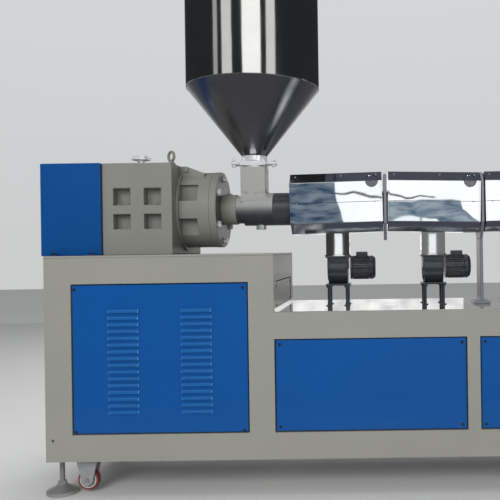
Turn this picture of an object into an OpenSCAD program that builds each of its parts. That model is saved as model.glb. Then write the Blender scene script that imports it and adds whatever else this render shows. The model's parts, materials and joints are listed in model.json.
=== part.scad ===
// Single-screw plastic extruder with a four-zone air-cooled barrel on a welded box-section base.
// X runs along the barrel towards the die, Y across the machine and Z up.
// The origin is on the floor, at the middle of the machine's length and width.

/* [Base frame] */
// Width of the machine across the barrel
frame_w = 540; // [480:10:640]
// Depth of the frame's box section, across the machine
section_d = 60; // [50:5:80]
// Wall of the frame's box section
section_t = 4; // [3:1:6]
// Width of the corner posts, seen from the side
end_post_w = 92; // [80:2:110]
// Width of the post between the cabinet and the bed
cabinet_post_w = 88; // [76:2:100]
// Width of the post between the two bays of the bed
mid_post_w = 44; // [30:2:60]
// Width of the cabinet's bay
cabinet_bay_w = 610; // [560:10:700]
// Width of each bay of the bed
bed_bay_w = 664; // [640:4:760]
// Height of the bottom rails
bottom_rail_h = 92; // [70:2:110]
// Height of the bed's top rails
bed_rail_h = 92; // [70:2:110]
// Height of the cabinet's top rails
cabinet_rail_h = 90; // [70:2:110]
// Height of the bed's bays
bed_bay_h = 321; // [260:1:380]
// Height of the step from the bed's top to the cabinet's top rails
step_h = 106; // [80:1:140]
// Thickness of the plate that the drive stands on
top_plate_t = 8; // [6:1:16]
// Thickness of the polished drip tray
tray_t = 2; // [1:0.5:4]
// Distance of the drip tray from the edge of the bed
tray_inset = 3; // [1:1:10]
// Height of the drip tray's upturned edge at the cabinet
tray_upstand_h = 12; // [8:1:30]

/* [Panels] */
// Sheet of the panels
panel_t = 2; // [1.5:0.5:3]
// Depth of the panels' folded edges
panel_fold = 14; // [8:1:24]
// Gap all round a panel
panel_gap = 4; // [3:0.5:7]
// Distance of the panels behind the face of the frame
panel_inset = 2; // [1:0.5:5]
// Width of the strips that the panels are screwed to
strip_w = 24; // [16:2:40]
// Thickness of the strips
strip_t = 4; // [3:1:6]
// Width of one louvre
louvre_w = 104; // [80:2:140]
// Height of one louvre
louvre_h = 11; // [8:1:14]
// How far a louvre stands out of its panel
louvre_out = 7; // [4:1:12]
// Sheet of the louvres
louvre_t = 1.5; // [1:0.5:2.5]
// Distance from louvre to louvre
louvre_pitch = 23.2; // [20:0.2:26]
// Louvres in each column
louvre_rows = 16; // [8:1:18]
// Distance between the middles of the two columns of louvres
louvre_column_pitch = 252; // [200:2:320]
// Height of the middle of the louvres above the middle of the panel, less than 0 where it lies below
louvre_raise = -9; // [-20:1:40]

/* [Feet] */
// Height of the frame above the floor
ground_gap = 124; // [110:2:160]
// Diameter of a foot's pad
pad_d = 106; // [80:2:110]
// Height of the rim of a foot's pad
pad_rim_h = 13; // [8:1:20]
// Height of a foot's pad
pad_h = 30; // [22:1:36]
// Diameter of a foot's threaded rod
foot_rod_d = 18; // [14:1:24]
// Height of a foot's lock nut
foot_nut_h = 14; // [10:1:18]
// Distance of a foot from the end of the frame
foot_inset_x = 29; // [25:1:45]
// Distance of a foot from the side of the frame
foot_inset_y = 58; // [50:1:80]

/* [Castors] */
// Diameter of a castor's wheel
wheel_d = 74; // [70:2:90]
// Width of a castor's tyre
tyre_w = 26; // [20:1:32]
// Thickness of a castor's tyre
tyre_t = 8; // [5:1:12]
// Diameter of a castor's axle
axle_d = 10; // [8:1:14]
// Width of a castor's hub
hub_w = 36; // [34:1:44]
// Height of the wheels above the floor
wheel_lift = 9; // [3:1:12]
// Sheet of a castor's fork
fork_t = 3; // [2:0.5:5]
// Width of a fork's cheek at the axle
fork_eye_w = 38; // [32:1:44]
// Length of a castor's top plate
fork_plate_l = 96; // [80:2:110]
// Distance of a castor from the end of the frame
castor_inset_x = 122; // [118:1:200]
// Distance of a castor from the side of the frame
castor_inset_y = 64; // [56:1:90]

/* [Drive] */
// Length of the belt guard
guard_l = 212; // [190:2:240]
// How far the belt guard reaches past the end of the frame
guard_overhang = 37; // [20:1:60]
// Distance of the belt guard from the side of the frame
guard_inset_y = 60; // [35:5:80]
// Sheet of the belt guard
guard_t = 3; // [2:0.5:4]
// Length of the gearbox along the barrel
gear_l = 248; // [230:2:280]
// Width of the gearbox across the barrel
gear_w = 390; // [360:10:440]
// Height of the gearbox
gear_h = 327; // [315:1:380]
// Height of the barrel's axis above the plate that the drive stands on
axis_raise = 167; // [155:1:185]
// Width and height of the upper pockets in the gearbox
gear_pocket = 60; // [44:2:70]
// Height of the lower pockets in the gearbox
gear_low_pocket_h = 53; // [40:1:62]
// Depth of the pockets in the gearbox
gear_pocket_d = 44; // [14:2:60]
// Distance between the middles of the two pockets in a row
gear_pocket_pitch = 109; // [96:1:124]
// Radius of the breather's cap
breather_cap_r = 35; // [24:1:40]
// Height of the breather
breather_h = 50; // [40:1:60]
// Outer diameter of the lifting eye
eye_d = 44; // [36:1:56]
// Thickness of the lifting eye's ring
eye_t = 10; // [7:1:12]
// Distance of the lifting eye from the gearbox's end
eye_inset_x = 16; // [14:1:40]
// Distance of the lifting eye from the gearbox's front
eye_inset_y = 55; // [20:1:80]
// How far the lifting eye is turned about its stem, in degrees
eye_turn = -40; // [-60:5:60]
// Length of the thrust housing
thrust_l = 115; // [100:1:130]
// Radius of the thrust housing
thrust_r = 142; // [134:1:150]
// Radius of the thrust housing's flange at the gearbox
thrust_flange_r = 154; // [152:1:160]
// Thickness of the thrust housing's flange at the gearbox
thrust_flange_t = 8; // [6:1:18]
// Length of the sloped lug on the thrust housing
lug_l = 88; // [60:2:98]
// Width of that lug
lug_w = 34; // [24:2:44]
// How far that lug stands above the thrust housing's flange
lug_rise = 18; // [8:1:24]
// Distance from the machine's middle plane to that lug's middle
lug_y = 63; // [50:1:80]
// Length of the retaining ring after the thrust housing
ring_l = 27; // [20:1:36]
// Radius of the collar at the start of the barrel
collar_r = 57; // [50:1:64]
// Length of that collar
collar_l = 55; // [45:1:70]
// Radius of the neck after the collar
neck_r = 53; // [40:1:53]
// Length of the neck
neck_l = 27; // [20:1:36]

/* [Feed and hopper] */
// Length of the feed section
feed_l = 111; // [105:1:130]
// Distance from the start of the feed section to the middle of the throat
throat_at = 37; // [33:1:60]
// Length of the throat block along the barrel
throat_l = 94; // [90:1:104]
// Width of the throat block across the barrel
throat_w = 86; // [84:1:110]
// Height of the throat block's top above the barrel's axis
throat_h = 160; // [150:1:190]
// Depth of the flat on the feed section that the throat block stands on
throat_seat_d = 8; // [5:1:12]
// Diameter of the passage down the throat
throat_bore_d = 60; // [48:1:62]
// Height of the spacer on top of the throat
spacer_h = 5; // [3:1:12]
// Thickness of the flange under the hopper
throat_flange_h = 18; // [14:1:24]
// Length of the slide plate in that flange
gate_l = 168; // [150:2:190]
// Width of that plate across the barrel
gate_w = 64; // [62:2:80]
// Thickness of that plate
gate_t = 8; // [5:1:10]
// Height of the bright collar under the hopper
spigot_h = 20; // [12:1:30]
// Radius of that collar
spigot_r = 48; // [46:1:54]
// Radius of the hopper
hopper_r = 250; // [230:2:280]
// Height of the hopper's cone
cone_h = 256; // [230:2:300]
// Height of the hopper's straight part
hopper_h = 480; // [300:10:600]
// Sheet of the hopper
hopper_t = 2; // [1.5:0.5:4]
// Height of the turned rim of the hopper
rim_h = 14; // [8:1:24]

/* [Barrel and screw] */
// Bore of the barrel
bore_d = 65; // [64:1:70]
// Outside diameter of the barrel
barrel_d = 124; // [116:2:130]
// Radial clearance of the screw in the barrel
screw_clearance = 0.2; // [0.1:0.1:0.5]
// Length of the screw's pointed tip
screw_tip_l = 36; // [24:2:50]
// Radius of the flange at the barrel's end
die_flange_r = 105; // [100:1:120]
// Thickness of that flange
die_flange_t = 38; // [28:2:50]
// Pitch circle of the bolt holes in that flange
die_pcd = 170; // [164:2:174]
// Bolt holes in that flange
die_bolts = 8; // [4:1:12]
// Diameter of those bolt holes
die_bolt_d = 17; // [13:1:21]

/* [Heater covers] */
// Number of heating zones
zones = 4; // [4:1:4]
// Length of one cover
cover_l = 341; // [330:1:350]
// Gap between two covers
cover_gap = 20; // [20:1:28]
// Bare barrel before the first cover
bare_l = 72; // [60:1:90]
// Half of the covers' width
cover_half_w = 100; // [92:1:110]
// Half of the covers' height
cover_half_h = 112; // [104:1:120]
// Chamfer along the covers
cover_chamfer = 36; // [24:1:44]
// Sheet of the covers
cover_t = 2; // [1:0.5:3]
// Height of the covers' middle above the barrel's axis
cover_raise = 16; // [8:1:20]
// Radius of the wiring outlet in an upper cover
outlet_r = 24; // [12:1:30]
// Distance of the wiring outlet from the cover's end
outlet_inset = 38; // [28:1:80]
// Thickness of the plates between the covers
divider_t = 11; // [8:1:12]
// How far the plates between the covers reach below the covers
divider_drop = 28; // [20:1:40]
// Thickness of the stands under the barrel
stand_t = 12; // [10:1:14]
// Width of the stands across the barrel
stand_w = 90; // [70:2:110]
// Thickness of a stand's foot
stand_foot_t = 10; // [8:1:14]

/* [Blowers] */
// Width of the bright air duct under a cover
duct_w = 88; // [76:2:100]
// Sheet of the air duct
duct_t = 2; // [1.5:0.5:3]
// Length of a blower's housing along the barrel
blower_l = 92; // [88:2:110]
// Width of a blower's housing across the barrel
blower_w = 120; // [100:2:140]
// Height of a blower's housing
blower_h = 110; // [90:2:120]
// Height of a blower's legs
blower_leg_h = 76; // [50:2:90]
// Diameter of a blower's legs
blower_leg_d = 12; // [10:1:20]
// Length of a blower's motor
motor_l = 96; // [80:2:120]
// Radius of a blower's motor
motor_r = 46; // [28:1:54]

/* [Fits] */
// Gap between round pieces that seat on each other
seat_gap = 0.2; // [0.1:0.1:0.4]
// Radial clearance of a wheel on its axle
wheel_clearance = 0.05; // [0.02:0.01:0.1]

/* [Hidden] */
$fn = 96;
over = 1;

// Places along X, counted from the frame's end under the belt guard
cabinet_bay_at = end_post_w;
cabinet_post_at = cabinet_bay_at + cabinet_bay_w;
bed_at = cabinet_post_at + cabinet_post_w;
mid_post_at = bed_at + bed_bay_w;
bed_bay_2_at = mid_post_at + mid_post_w;
bed_end_post_at = bed_bay_2_at + bed_bay_w;
frame_l = bed_end_post_at + end_post_w;
gear_at = guard_l - guard_overhang;
thrust_at = gear_at + gear_l;
ring_at = thrust_at + thrust_l;
collar_at = ring_at + ring_l;
neck_at = collar_at + collar_l;
feed_at = neck_at + neck_l;
barrel_at = feed_at + feed_l;
cover_pitch = cover_l + cover_gap;
covers_at = barrel_at + bare_l;
covers_end = covers_at + zones * cover_pitch - cover_gap;
barrel_end = covers_end + cover_gap + die_flange_t;

// The frame's end, placed so that the machine's length is centred on the origin
overall_l = guard_overhang + barrel_end;
x0 = guard_overhang - overall_l / 2;

// Heights
rail_top = ground_gap + bottom_rail_h;
bed_bay_top = rail_top + bed_bay_h;
bed_top = bed_bay_top + bed_rail_h;
cabinet_bay_top = bed_top + step_h;
cabinet_rail_top = cabinet_bay_top + cabinet_rail_h;
drive_z = cabinet_rail_top + top_plate_t;
axis_z = drive_z + axis_raise;
tray_top = bed_top + tray_t;
throat_seat_z = axis_z + barrel_d / 2 - throat_seat_d;
throat_top = axis_z + throat_h;
throat_flange_z = throat_top + spacer_h;
spigot_z = throat_flange_z + throat_flange_h;
cone_z = spigot_z + spigot_h;
hopper_z = cone_z + cone_h;
cover_z = axis_z + cover_raise;
cover_bottom = cover_z - cover_half_h;
divider_bottom = cover_bottom - divider_drop;
blower_z = tray_top + blower_leg_h;
duct_z = blower_z + blower_h;

// Places across the machine
side_y = frame_w / 2;
inner_y = side_y - section_d;
inner_w = 2 * inner_y;
guard_w = 2 * (side_y - guard_inset_y);

// How far each cover hangs out of level, in degrees, lifted at its die end where positive
cover_tilts = [1.15, -1.3, 0.5, -0.4];
pocket_gap_z = 32;
pocket_top_drop = 90;
nut_r = 1.15;
barrel_r = barrel_d / 2;
wheel_r = wheel_d / 2;
axle_r = axle_d / 2;
axle_z = wheel_lift + wheel_r;
fork_gap = hub_w + 2;
wheel_bore_r = axle_r + wheel_clearance;

beige = [0.72, 0.71, 0.66];
blue = [0.06, 0.32, 0.60];
steel = [0.62, 0.63, 0.64];
polished = [0.80, 0.81, 0.83];
dark = [0.16, 0.17, 0.19];
red = [0.66, 0.12, 0.14];
white = [0.86, 0.87, 0.88];

// Extrudes an outline drawn in Y and Z along X
module along_x(at, l) {
    translate([at, 0, 0]) rotate([90, 0, 90]) linear_extrude(l) children();
}

// Turns a shape's Z axis to X
module axis_to_x(at, z) {
    translate([at, 0, z]) rotate([0, 90, 0]) children();
}

// Repeats a shape on the front and, mirrored, on the back of the machine
module both_sides() {
    for (s = [0, 1]) mirror([0, s, 0]) children();
}

// A length of box section that stands upright
module post(at, w, z, h) {
    translate([x0 + at, -side_y, z]) difference() {
        cube([w, section_d, h]);
        translate([section_t, section_t, -over])
            cube([w - 2 * section_t, section_d - 2 * section_t, h + 2 * over]);
    }
}

// A length of box section that lies along the machine
module rail(at, l, z, h) {
    translate([x0 + at, -side_y, z]) difference() {
        cube([l, section_d, h]);
        translate([-over, section_t, section_t])
            cube([l + 2 * over, section_d - 2 * section_t, h - 2 * section_t]);
    }
}

// A length of box section that lies across the machine
module cross_rail(at, w, z, h) {
    translate([x0 + at, -inner_y, z]) difference() {
        cube([w, inner_w, h]);
        translate([section_t, -over, section_t])
            cube([w - 2 * section_t, inner_w + 2 * over, h - 2 * section_t]);
    }
}

module tall_posts() {
    color(beige) both_sides() {
        post(0, end_post_w, ground_gap, cabinet_rail_top - ground_gap);
        post(cabinet_post_at, cabinet_post_w, ground_gap, cabinet_rail_top - ground_gap);
    }
}

module bed_posts() {
    color(beige) both_sides() {
        post(mid_post_at, mid_post_w, rail_top, bed_bay_h);
        post(bed_end_post_at, end_post_w, ground_gap, bed_top - ground_gap);
    }
}

module bottom_rails() {
    color(beige) both_sides() {
        rail(cabinet_bay_at, cabinet_bay_w, ground_gap, bottom_rail_h);
        rail(bed_at, bed_end_post_at - bed_at, ground_gap, bottom_rail_h);
    }
}

module cabinet_top_rails() {
    color(beige) both_sides() rail(cabinet_bay_at, cabinet_bay_w, cabinet_bay_top, cabinet_rail_h);
}

module bed_top_rails() {
    color(beige) both_sides() rail(bed_at, bed_end_post_at - bed_at, bed_bay_top, bed_rail_h);
}

module cross_rails() {
    color(beige) {
        cross_rail(0, end_post_w, ground_gap, bottom_rail_h);
        cross_rail(cabinet_post_at, cabinet_post_w, ground_gap, bottom_rail_h);
        cross_rail(bed_end_post_at, end_post_w, ground_gap, bottom_rail_h);
        cross_rail(0, end_post_w, cabinet_bay_top, cabinet_rail_h);
        cross_rail(cabinet_post_at, cabinet_post_w, cabinet_bay_top, cabinet_rail_h);
        cross_rail(cabinet_post_at, cabinet_post_w, bed_bay_top, bed_rail_h);
        cross_rail(mid_post_at, mid_post_w, bed_bay_top, bed_rail_h);
        cross_rail(bed_end_post_at, end_post_w, bed_bay_top, bed_rail_h);
    }
}

// The two upright strips behind the panel of one bay in the machine's side
module side_strips(at, w, h) {
    for (x = [at, at + w - strip_w])
        translate([x0 + x, panel_inset + panel_fold - side_y, rail_top]) cube([strip_w, strip_t, h]);
}

// The two upright strips behind a panel in the machine's end, whose inner side faces +X
module end_strips(at, z, h) {
    for (y = [-inner_y, inner_y - strip_w])
        translate([x0 + at, y, z]) cube([strip_t, strip_w, h]);
}

module panel_strips() {
    color(dark) {
        both_sides() {
            side_strips(cabinet_bay_at, cabinet_bay_w, cabinet_bay_top - rail_top);
            side_strips(bed_at, bed_bay_w, bed_bay_h);
            side_strips(bed_bay_2_at, bed_bay_w, bed_bay_h);
        }
        end_strips(panel_inset + panel_fold, rail_top, cabinet_bay_top - rail_top);
        end_strips(frame_l - panel_inset - panel_fold - strip_t, rail_top, bed_bay_h);
        end_strips(bed_at - panel_inset - panel_fold - strip_t, bed_top, step_h);
    }
}

// A panel for a bay of w by h, with its edges folded back, that faces -Y
module folded_panel(w, h) {
    difference() {
        cube([w - 2 * panel_gap, panel_fold, h - 2 * panel_gap]);
        translate([panel_t, panel_t, panel_t])
            cube([w - 2 * panel_gap - 2 * panel_t, panel_fold, h - 2 * panel_gap - 2 * panel_t]);
    }
}

// A folded panel in a bay of the front side
module side_panel(at, w, z, h) {
    translate([x0 + at + panel_gap, panel_inset - side_y, z + panel_gap]) folded_panel(w, h);
}

// A folded panel in a bay of an end, facing -X
module end_panel(at, z, h) {
    translate([at, inner_y - panel_gap, z + panel_gap]) rotate([0, 0, -90]) folded_panel(inner_w, h);
}

// The raised lip over one louvre's slot, with the slot's lower edge at height 0
module louvre_hood() {
    translate([-louvre_w / 2, 0, 0]) rotate([90, 0, 90]) linear_extrude(louvre_w)
        polygon([[0, louvre_h + louvre_t], [-louvre_out, louvre_t], [-louvre_out, 0],
            [louvre_t - louvre_out, 0], [louvre_t, louvre_h - louvre_t], [louvre_t, louvre_h + louvre_t]]);
}

// Calls its children at the foot of each louvre on the panel's face
module louvre_places() {
    middle_x = x0 + cabinet_bay_at + cabinet_bay_w / 2;
    middle_z = (rail_top + cabinet_bay_top) / 2 + louvre_raise;
    for (s = [-1, 1], i = [0:louvre_rows - 1])
        translate([middle_x + s * louvre_column_pitch / 2, panel_inset - side_y,
            middle_z + (i - (louvre_rows - 1) / 2) * louvre_pitch - louvre_h / 2]) children();
}

// The cabinet's panel with its louvres, on the front side
module louvred_panel() {
    color(blue) {
        difference() {
            side_panel(cabinet_bay_at, cabinet_bay_w, rail_top, cabinet_bay_top - rail_top);
            louvre_places() translate([-louvre_w / 2, -over, 0])
                cube([louvre_w, panel_t + 2 * over, louvre_h - louvre_t]);
        }
        louvre_places() louvre_hood();
    }
}

module louvre_panel_front() {
    louvred_panel();
}

module louvre_panel_back() {
    mirror([0, 1, 0]) louvred_panel();
}

module bed_panel(at, back) {
    color(blue) mirror([0, back, 0]) side_panel(at, bed_bay_w, rail_top, bed_bay_h);
}

module bed_panel_front_1() {
    bed_panel(bed_at, 0);
}

module bed_panel_front_2() {
    bed_panel(bed_bay_2_at, 0);
}

module bed_panel_back_1() {
    bed_panel(bed_at, 1);
}

module bed_panel_back_2() {
    bed_panel(bed_bay_2_at, 1);
}

module cabinet_end_panel() {
    color(blue) end_panel(x0 + panel_inset, rail_top, cabinet_bay_top - rail_top);
}

module bed_end_panel() {
    color(blue) mirror([1, 0, 0]) end_panel(panel_inset - x0 - frame_l, rail_top, bed_bay_h);
}

module step_panel() {
    color(beige) mirror([1, 0, 0]) end_panel(panel_inset - x0 - bed_at, bed_top, step_h);
}

module cabinet_top_plate() {
    opening_l = gear_at - guard_t - section_t - end_post_w;
    color(beige) difference() {
        translate([x0, -side_y, cabinet_rail_top]) cube([bed_at, frame_w, top_plate_t]);
        translate([x0 + end_post_w, -guard_w / 4, cabinet_rail_top - over])
            cube([opening_l, guard_w / 2, top_plate_t + 2 * over]);
    }
}

module drip_tray() {
    tray_l = frame_l - bed_at - tray_inset;
    tray_w = frame_w - 2 * tray_inset;
    color(polished) translate([x0 + bed_at, -tray_w / 2, bed_top]) {
        cube([tray_l, tray_w, tray_t]);
        cube([tray_t, tray_w, tray_upstand_h]);
    }
}

// Calls its children at a point near each corner of the base, mirrored so that the inside is the same
module corners(inset_x, inset_y) {
    for (x = [x0 + inset_x, x0 + frame_l - inset_x], y = [-1, 1])
        translate([x, y * (side_y - inset_y), 0]) children();
}

module foot_pads() {
    neck = foot_rod_d;
    color(steel) corners(foot_inset_x, foot_inset_y) rotate_extrude()
        polygon([[0, 0], [pad_d / 2, 0], [pad_d / 2, pad_rim_h], [neck, pad_h], [0, pad_h]]);
}

module foot_screws() {
    color(steel) corners(foot_inset_x, foot_inset_y) {
        translate([0, 0, pad_h]) cylinder(d = foot_rod_d, h = ground_gap - pad_h);
        translate([0, 0, pad_h]) cylinder(r = foot_rod_d / 2 * nut_r + 4, h = foot_nut_h, $fn = 6);
        translate([0, 0, ground_gap - foot_nut_h / 2])
            cylinder(r = foot_rod_d / 2 + 5, h = foot_nut_h / 2);
    }
}

// One cheek of a castor's fork, drawn in X and Z round the axle
module fork_cheek() {
    top = ground_gap - fork_t;
    rotate([90, 0, 0]) linear_extrude(fork_t) difference() {
        union() {
            translate([0, axle_z]) circle(d = fork_eye_w);
            polygon([[-fork_eye_w / 2, axle_z], [fork_eye_w / 2, axle_z], [fork_plate_l * 0.4, top],
                [-fork_plate_l * 0.4, top]]);
        }
        translate([0, axle_z]) circle(r = axle_r + seat_gap);
    }
}

module castor_forks() {
    color(white) corners(castor_inset_x, castor_inset_y) {
        translate([-fork_plate_l / 2, -fork_gap / 2 - fork_t - 8, ground_gap - fork_t])
            cube([fork_plate_l, fork_gap + 2 * fork_t + 16, fork_t]);
        translate([0, -fork_gap / 2, 0]) fork_cheek();
        translate([0, fork_gap / 2 + fork_t, 0]) fork_cheek();
    }
}

module castor_axles() {
    head_h = 5;
    color(steel) corners(castor_inset_x, castor_inset_y) translate([0, 0, axle_z]) rotate([90, 0, 0]) {
        cylinder(r = axle_r, h = fork_gap + 2 * fork_t, center = true);
        for (s = [0, 1]) mirror([0, 0, s]) translate([0, 0, fork_gap / 2 + fork_t])
            cylinder(r = axle_d * 0.85, h = head_h, $fn = 6);
    }
}

// Puts a wheel's own shape, drawn round Z, on the axle of castor i
module at_wheel(i) {
    x = i % 2 == 0 ? x0 + castor_inset_x : x0 + frame_l - castor_inset_x;
    y = i < 2 ? castor_inset_y - side_y : side_y - castor_inset_y;
    translate([x, y, axle_z]) rotate([90, 0, 0]) children();
}

module wheel_core(i) {
    rim_r = wheel_r - tyre_t;
    color(white) at_wheel(i) difference() {
        union() {
            cylinder(r = axle_d * 1.1, h = hub_w, center = true);
            cylinder(r = rim_r, h = tyre_w, center = true);
        }
        cylinder(r = wheel_bore_r, h = hub_w + 2 * over, center = true);
        for (s = [0, 1]) mirror([0, 0, s]) translate([0, 0, tyre_w / 4]) difference() {
            cylinder(r = rim_r - 5, h = tyre_w);
            translate([0, 0, -over]) cylinder(r = axle_d * 1.1, h = tyre_w + 2 * over);
        }
    }
}

module wheel_tyre(i) {
    half = tyre_w / 2;
    crown = 3;
    color(red) at_wheel(i) rotate_extrude()
        polygon([[wheel_r - tyre_t, -half], [wheel_r - crown, -half], [wheel_r, crown - half],
            [wheel_r, half - crown], [wheel_r - crown, half], [wheel_r - tyre_t, half]]);
}

module wheel_core_1() {
    wheel_core(0);
}

module wheel_core_2() {
    wheel_core(1);
}

module wheel_core_3() {
    wheel_core(2);
}

module wheel_core_4() {
    wheel_core(3);
}

module wheel_tyre_1() {
    wheel_tyre(0);
}

module wheel_tyre_2() {
    wheel_tyre(1);
}

module wheel_tyre_3() {
    wheel_tyre(2);
}

module wheel_tyre_4() {
    wheel_tyre(3);
}

module belt_guard() {
    clear_w = guard_w - 2 * guard_t;
    color(blue) translate([x0 - guard_overhang, -guard_w / 2, drive_z]) difference() {
        cube([guard_l, guard_w, gear_h]);
        translate([guard_t, guard_t, guard_t])
            cube([guard_l - 2 * guard_t, clear_w, gear_h - 2 * guard_t]);
        translate([guard_overhang + end_post_w, guard_w / 4, -over])
            cube([gear_at - 2 * guard_t - end_post_w, guard_w / 2, guard_t + 2 * over]);
    }
}

// The four pockets in the gearbox's front face
module gear_pockets() {
    top = drive_z + gear_h - pocket_top_drop;
    low = top - gear_pocket - pocket_gap_z - gear_low_pocket_h;
    for (s = [-1, 1]) {
        x = x0 + gear_at + gear_l / 2 + s * gear_pocket_pitch / 2 - gear_pocket / 2;
        translate([x, -gear_w / 2 - over, top - gear_pocket])
            cube([gear_pocket, gear_pocket_d + over, gear_pocket]);
        translate([x, -gear_w / 2 - over, low])
            cube([gear_pocket, gear_pocket_d + over, gear_low_pocket_h]);
    }
}

module gearbox_housing() {
    color(beige) difference() {
        translate([x0 + gear_at, -gear_w / 2, drive_z]) cube([gear_l, gear_w, gear_h]);
        both_sides() gear_pockets();
    }
}

module breather() {
    stem_r = 13;
    cap_h = 16;
    color(polished) translate([x0 + gear_at + gear_l * 0.3, 0, drive_z + gear_h]) rotate_extrude()
        polygon([[0, 0], [stem_r + 4, 0], [stem_r + 4, 8], [stem_r, 10], [stem_r, breather_h - cap_h - 6],
            [breather_cap_r - 5, breather_h - cap_h], [breather_cap_r, breather_h - cap_h + 3],
            [breather_cap_r, breather_h - 5], [breather_cap_r - 8, breather_h], [0, breather_h]]);
}

module lifting_eye() {
    stem_r = 14;
    collar_h = 8;
    ring_z = collar_h + eye_d / 2 - 2;
    x = x0 + gear_at + gear_l - eye_inset_x;
    color(beige) translate([x, eye_inset_y - gear_w / 2, drive_z + gear_h]) rotate([0, 0, eye_turn]) {
        cylinder(r = stem_r, h = collar_h);
        translate([0, 0, ring_z]) rotate([90, 0, 0]) rotate_extrude()
            translate([(eye_d - eye_t) / 2, 0]) circle(d = eye_t);
    }
}

// The pockets in the thrust housing's front, the lower one with a flat seat
module thrust_pockets() {
    pocket_l = 66;
    pocket_h = 60;
    upper_z = 27;
    lower_z = -97;
    floor_y = thrust_r * 0.66;
    for (z = [upper_z, lower_z])
        translate([x0 + thrust_at + thrust_flange_t, -thrust_r - over, axis_z + z])
            cube([pocket_l, thrust_r - floor_y + over, pocket_h]);
}

// The sloped lug that ties the thrust housing to the gearbox's upper edge, with its bolt
module thrust_lug() {
    flange_z = sqrt(pow(thrust_flange_r, 2) - pow(lug_y, 2));
    body_z = sqrt(pow(thrust_r, 2) - pow(lug_y, 2));
    bolt_r = 9;
    translate([x0 + thrust_at, -lug_y, axis_z]) rotate([90, 0, 0]) {
        linear_extrude(lug_w, center = true)
            polygon([[0, flange_z + lug_rise], [lug_l / 4, flange_z + lug_rise],
                [lug_l, body_z + lug_rise / 3], [lug_l, body_z - lug_w], [0, body_z - lug_w]]);
        translate([lug_l / 4, flange_z + lug_rise - bolt_r - 4, lug_w / 2])
            cylinder(r = bolt_r, h = 8, $fn = 6);
    }
}

module thrust_housing() {
    color(beige) difference() {
        union() {
            axis_to_x(x0 + thrust_at, axis_z) cylinder(r = thrust_flange_r, h = thrust_flange_t);
            axis_to_x(x0 + thrust_at, axis_z) cylinder(r = thrust_r, h = thrust_l);
            thrust_lug();
        }
        both_sides() thrust_pockets();
    }
}

module retaining_ring() {
    stud_r = 9;
    stud_circle_r = 118;
    color(beige) {
        axis_to_x(x0 + ring_at, axis_z) difference() {
            cylinder(r = thrust_r + 1, h = ring_l);
            translate([0, 0, -over]) cylinder(r = collar_r + seat_gap, h = ring_l + 2 * over);
        }
        for (a = [0:60:300]) axis_to_x(x0 + ring_at + ring_l, axis_z) rotate([0, 0, a])
            translate([stud_circle_r, 0, 0]) cylinder(r = stud_r, h = 14, $fn = 6);
    }
}

module barrel_collar() {
    color(beige) {
        axis_to_x(x0 + ring_at, axis_z) cylinder(r = collar_r, h = ring_l + collar_l);
        axis_to_x(x0 + neck_at, axis_z)
            cylinder(r = min(neck_r, barrel_r - throat_seat_d - seat_gap), h = neck_l);
    }
}

module feed_section() {
    color(dark) difference() {
        axis_to_x(x0 + feed_at, axis_z) cylinder(r = barrel_r, h = feed_l);
        axis_to_x(x0 + feed_at - over, axis_z) cylinder(d = bore_d, h = feed_l + 2 * over);
        translate([x0 + feed_at + throat_at, 0, axis_z]) cylinder(d = throat_bore_d, h = throat_h);
        translate([x0 + feed_at - over, -barrel_r, throat_seat_z])
            cube([throat_at + throat_l / 2 + over, barrel_d, throat_seat_d + over]);
    }
}

// The block that carries the hopper, on the flat of the feed section
module throat_block() {
    color(beige) difference() {
        translate([x0 + feed_at + throat_at - throat_l / 2, -throat_w / 2, throat_seat_z])
            cube([throat_l, throat_w, throat_top - throat_seat_z]);
        translate([x0 + feed_at + throat_at, 0, axis_z]) cylinder(d = throat_bore_d, h = throat_h + over);
    }
}

// The boss under the feed section that its cooling water goes in by
module cooling_nipple() {
    boss_at = 60;
    boss_r = 19;
    drop = 15;
    bore_r = 6;
    bore_depth = 11;
    color(steel) translate([x0 + feed_at + boss_at, 0, axis_z - barrel_r - drop]) difference() {
        cylinder(r = boss_r, h = drop + 5);
        translate([0, 0, -over]) cylinder(r = bore_r, h = bore_depth + over);
        axis_to_x(-2 * boss_r, barrel_r + drop) cylinder(r = barrel_r + seat_gap, h = 4 * boss_r);
    }
}

module throat_flange() {
    middle_x = x0 + feed_at + throat_at;
    color(steel) difference() {
        union() {
            translate([middle_x, 0, throat_top]) cylinder(r = throat_w / 2 - 2, h = spacer_h);
            translate([middle_x - throat_l / 2, -throat_w / 2, throat_flange_z])
                cube([throat_l, throat_w, throat_flange_h]);
            translate([middle_x - gate_l / 2, -gate_w / 2, throat_flange_z + (throat_flange_h - gate_t) / 2])
                cube([gate_l, gate_w, gate_t]);
        }
        translate([middle_x, 0, throat_top - over])
            cylinder(d = throat_bore_d, h = spacer_h + throat_flange_h + 2 * over);
    }
}

module hopper_spigot() {
    color(polished) translate([x0 + feed_at + throat_at, 0, spigot_z]) difference() {
        cylinder(r = spigot_r, h = spigot_h);
        translate([0, 0, -over]) cylinder(r = spigot_r - hopper_t * 3, h = spigot_h + 2 * over);
    }
}

module hopper_cone() {
    low_r = spigot_r;
    color(polished) translate([x0 + feed_at + throat_at, 0, cone_z]) rotate_extrude()
        polygon([[low_r - hopper_t, 0], [low_r, 0], [hopper_r, cone_h], [hopper_r - hopper_t, cone_h]]);
}

module hopper_body() {
    rim_r = hopper_r + 6;
    color(polished) translate([x0 + feed_at + throat_at, 0, hopper_z]) rotate_extrude()
        polygon([[hopper_r - hopper_t, 0], [hopper_r, 0], [hopper_r, hopper_h - rim_h],
            [rim_r, hopper_h - rim_h], [rim_r, hopper_h], [hopper_r - hopper_t, hopper_h]]);
}

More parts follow.
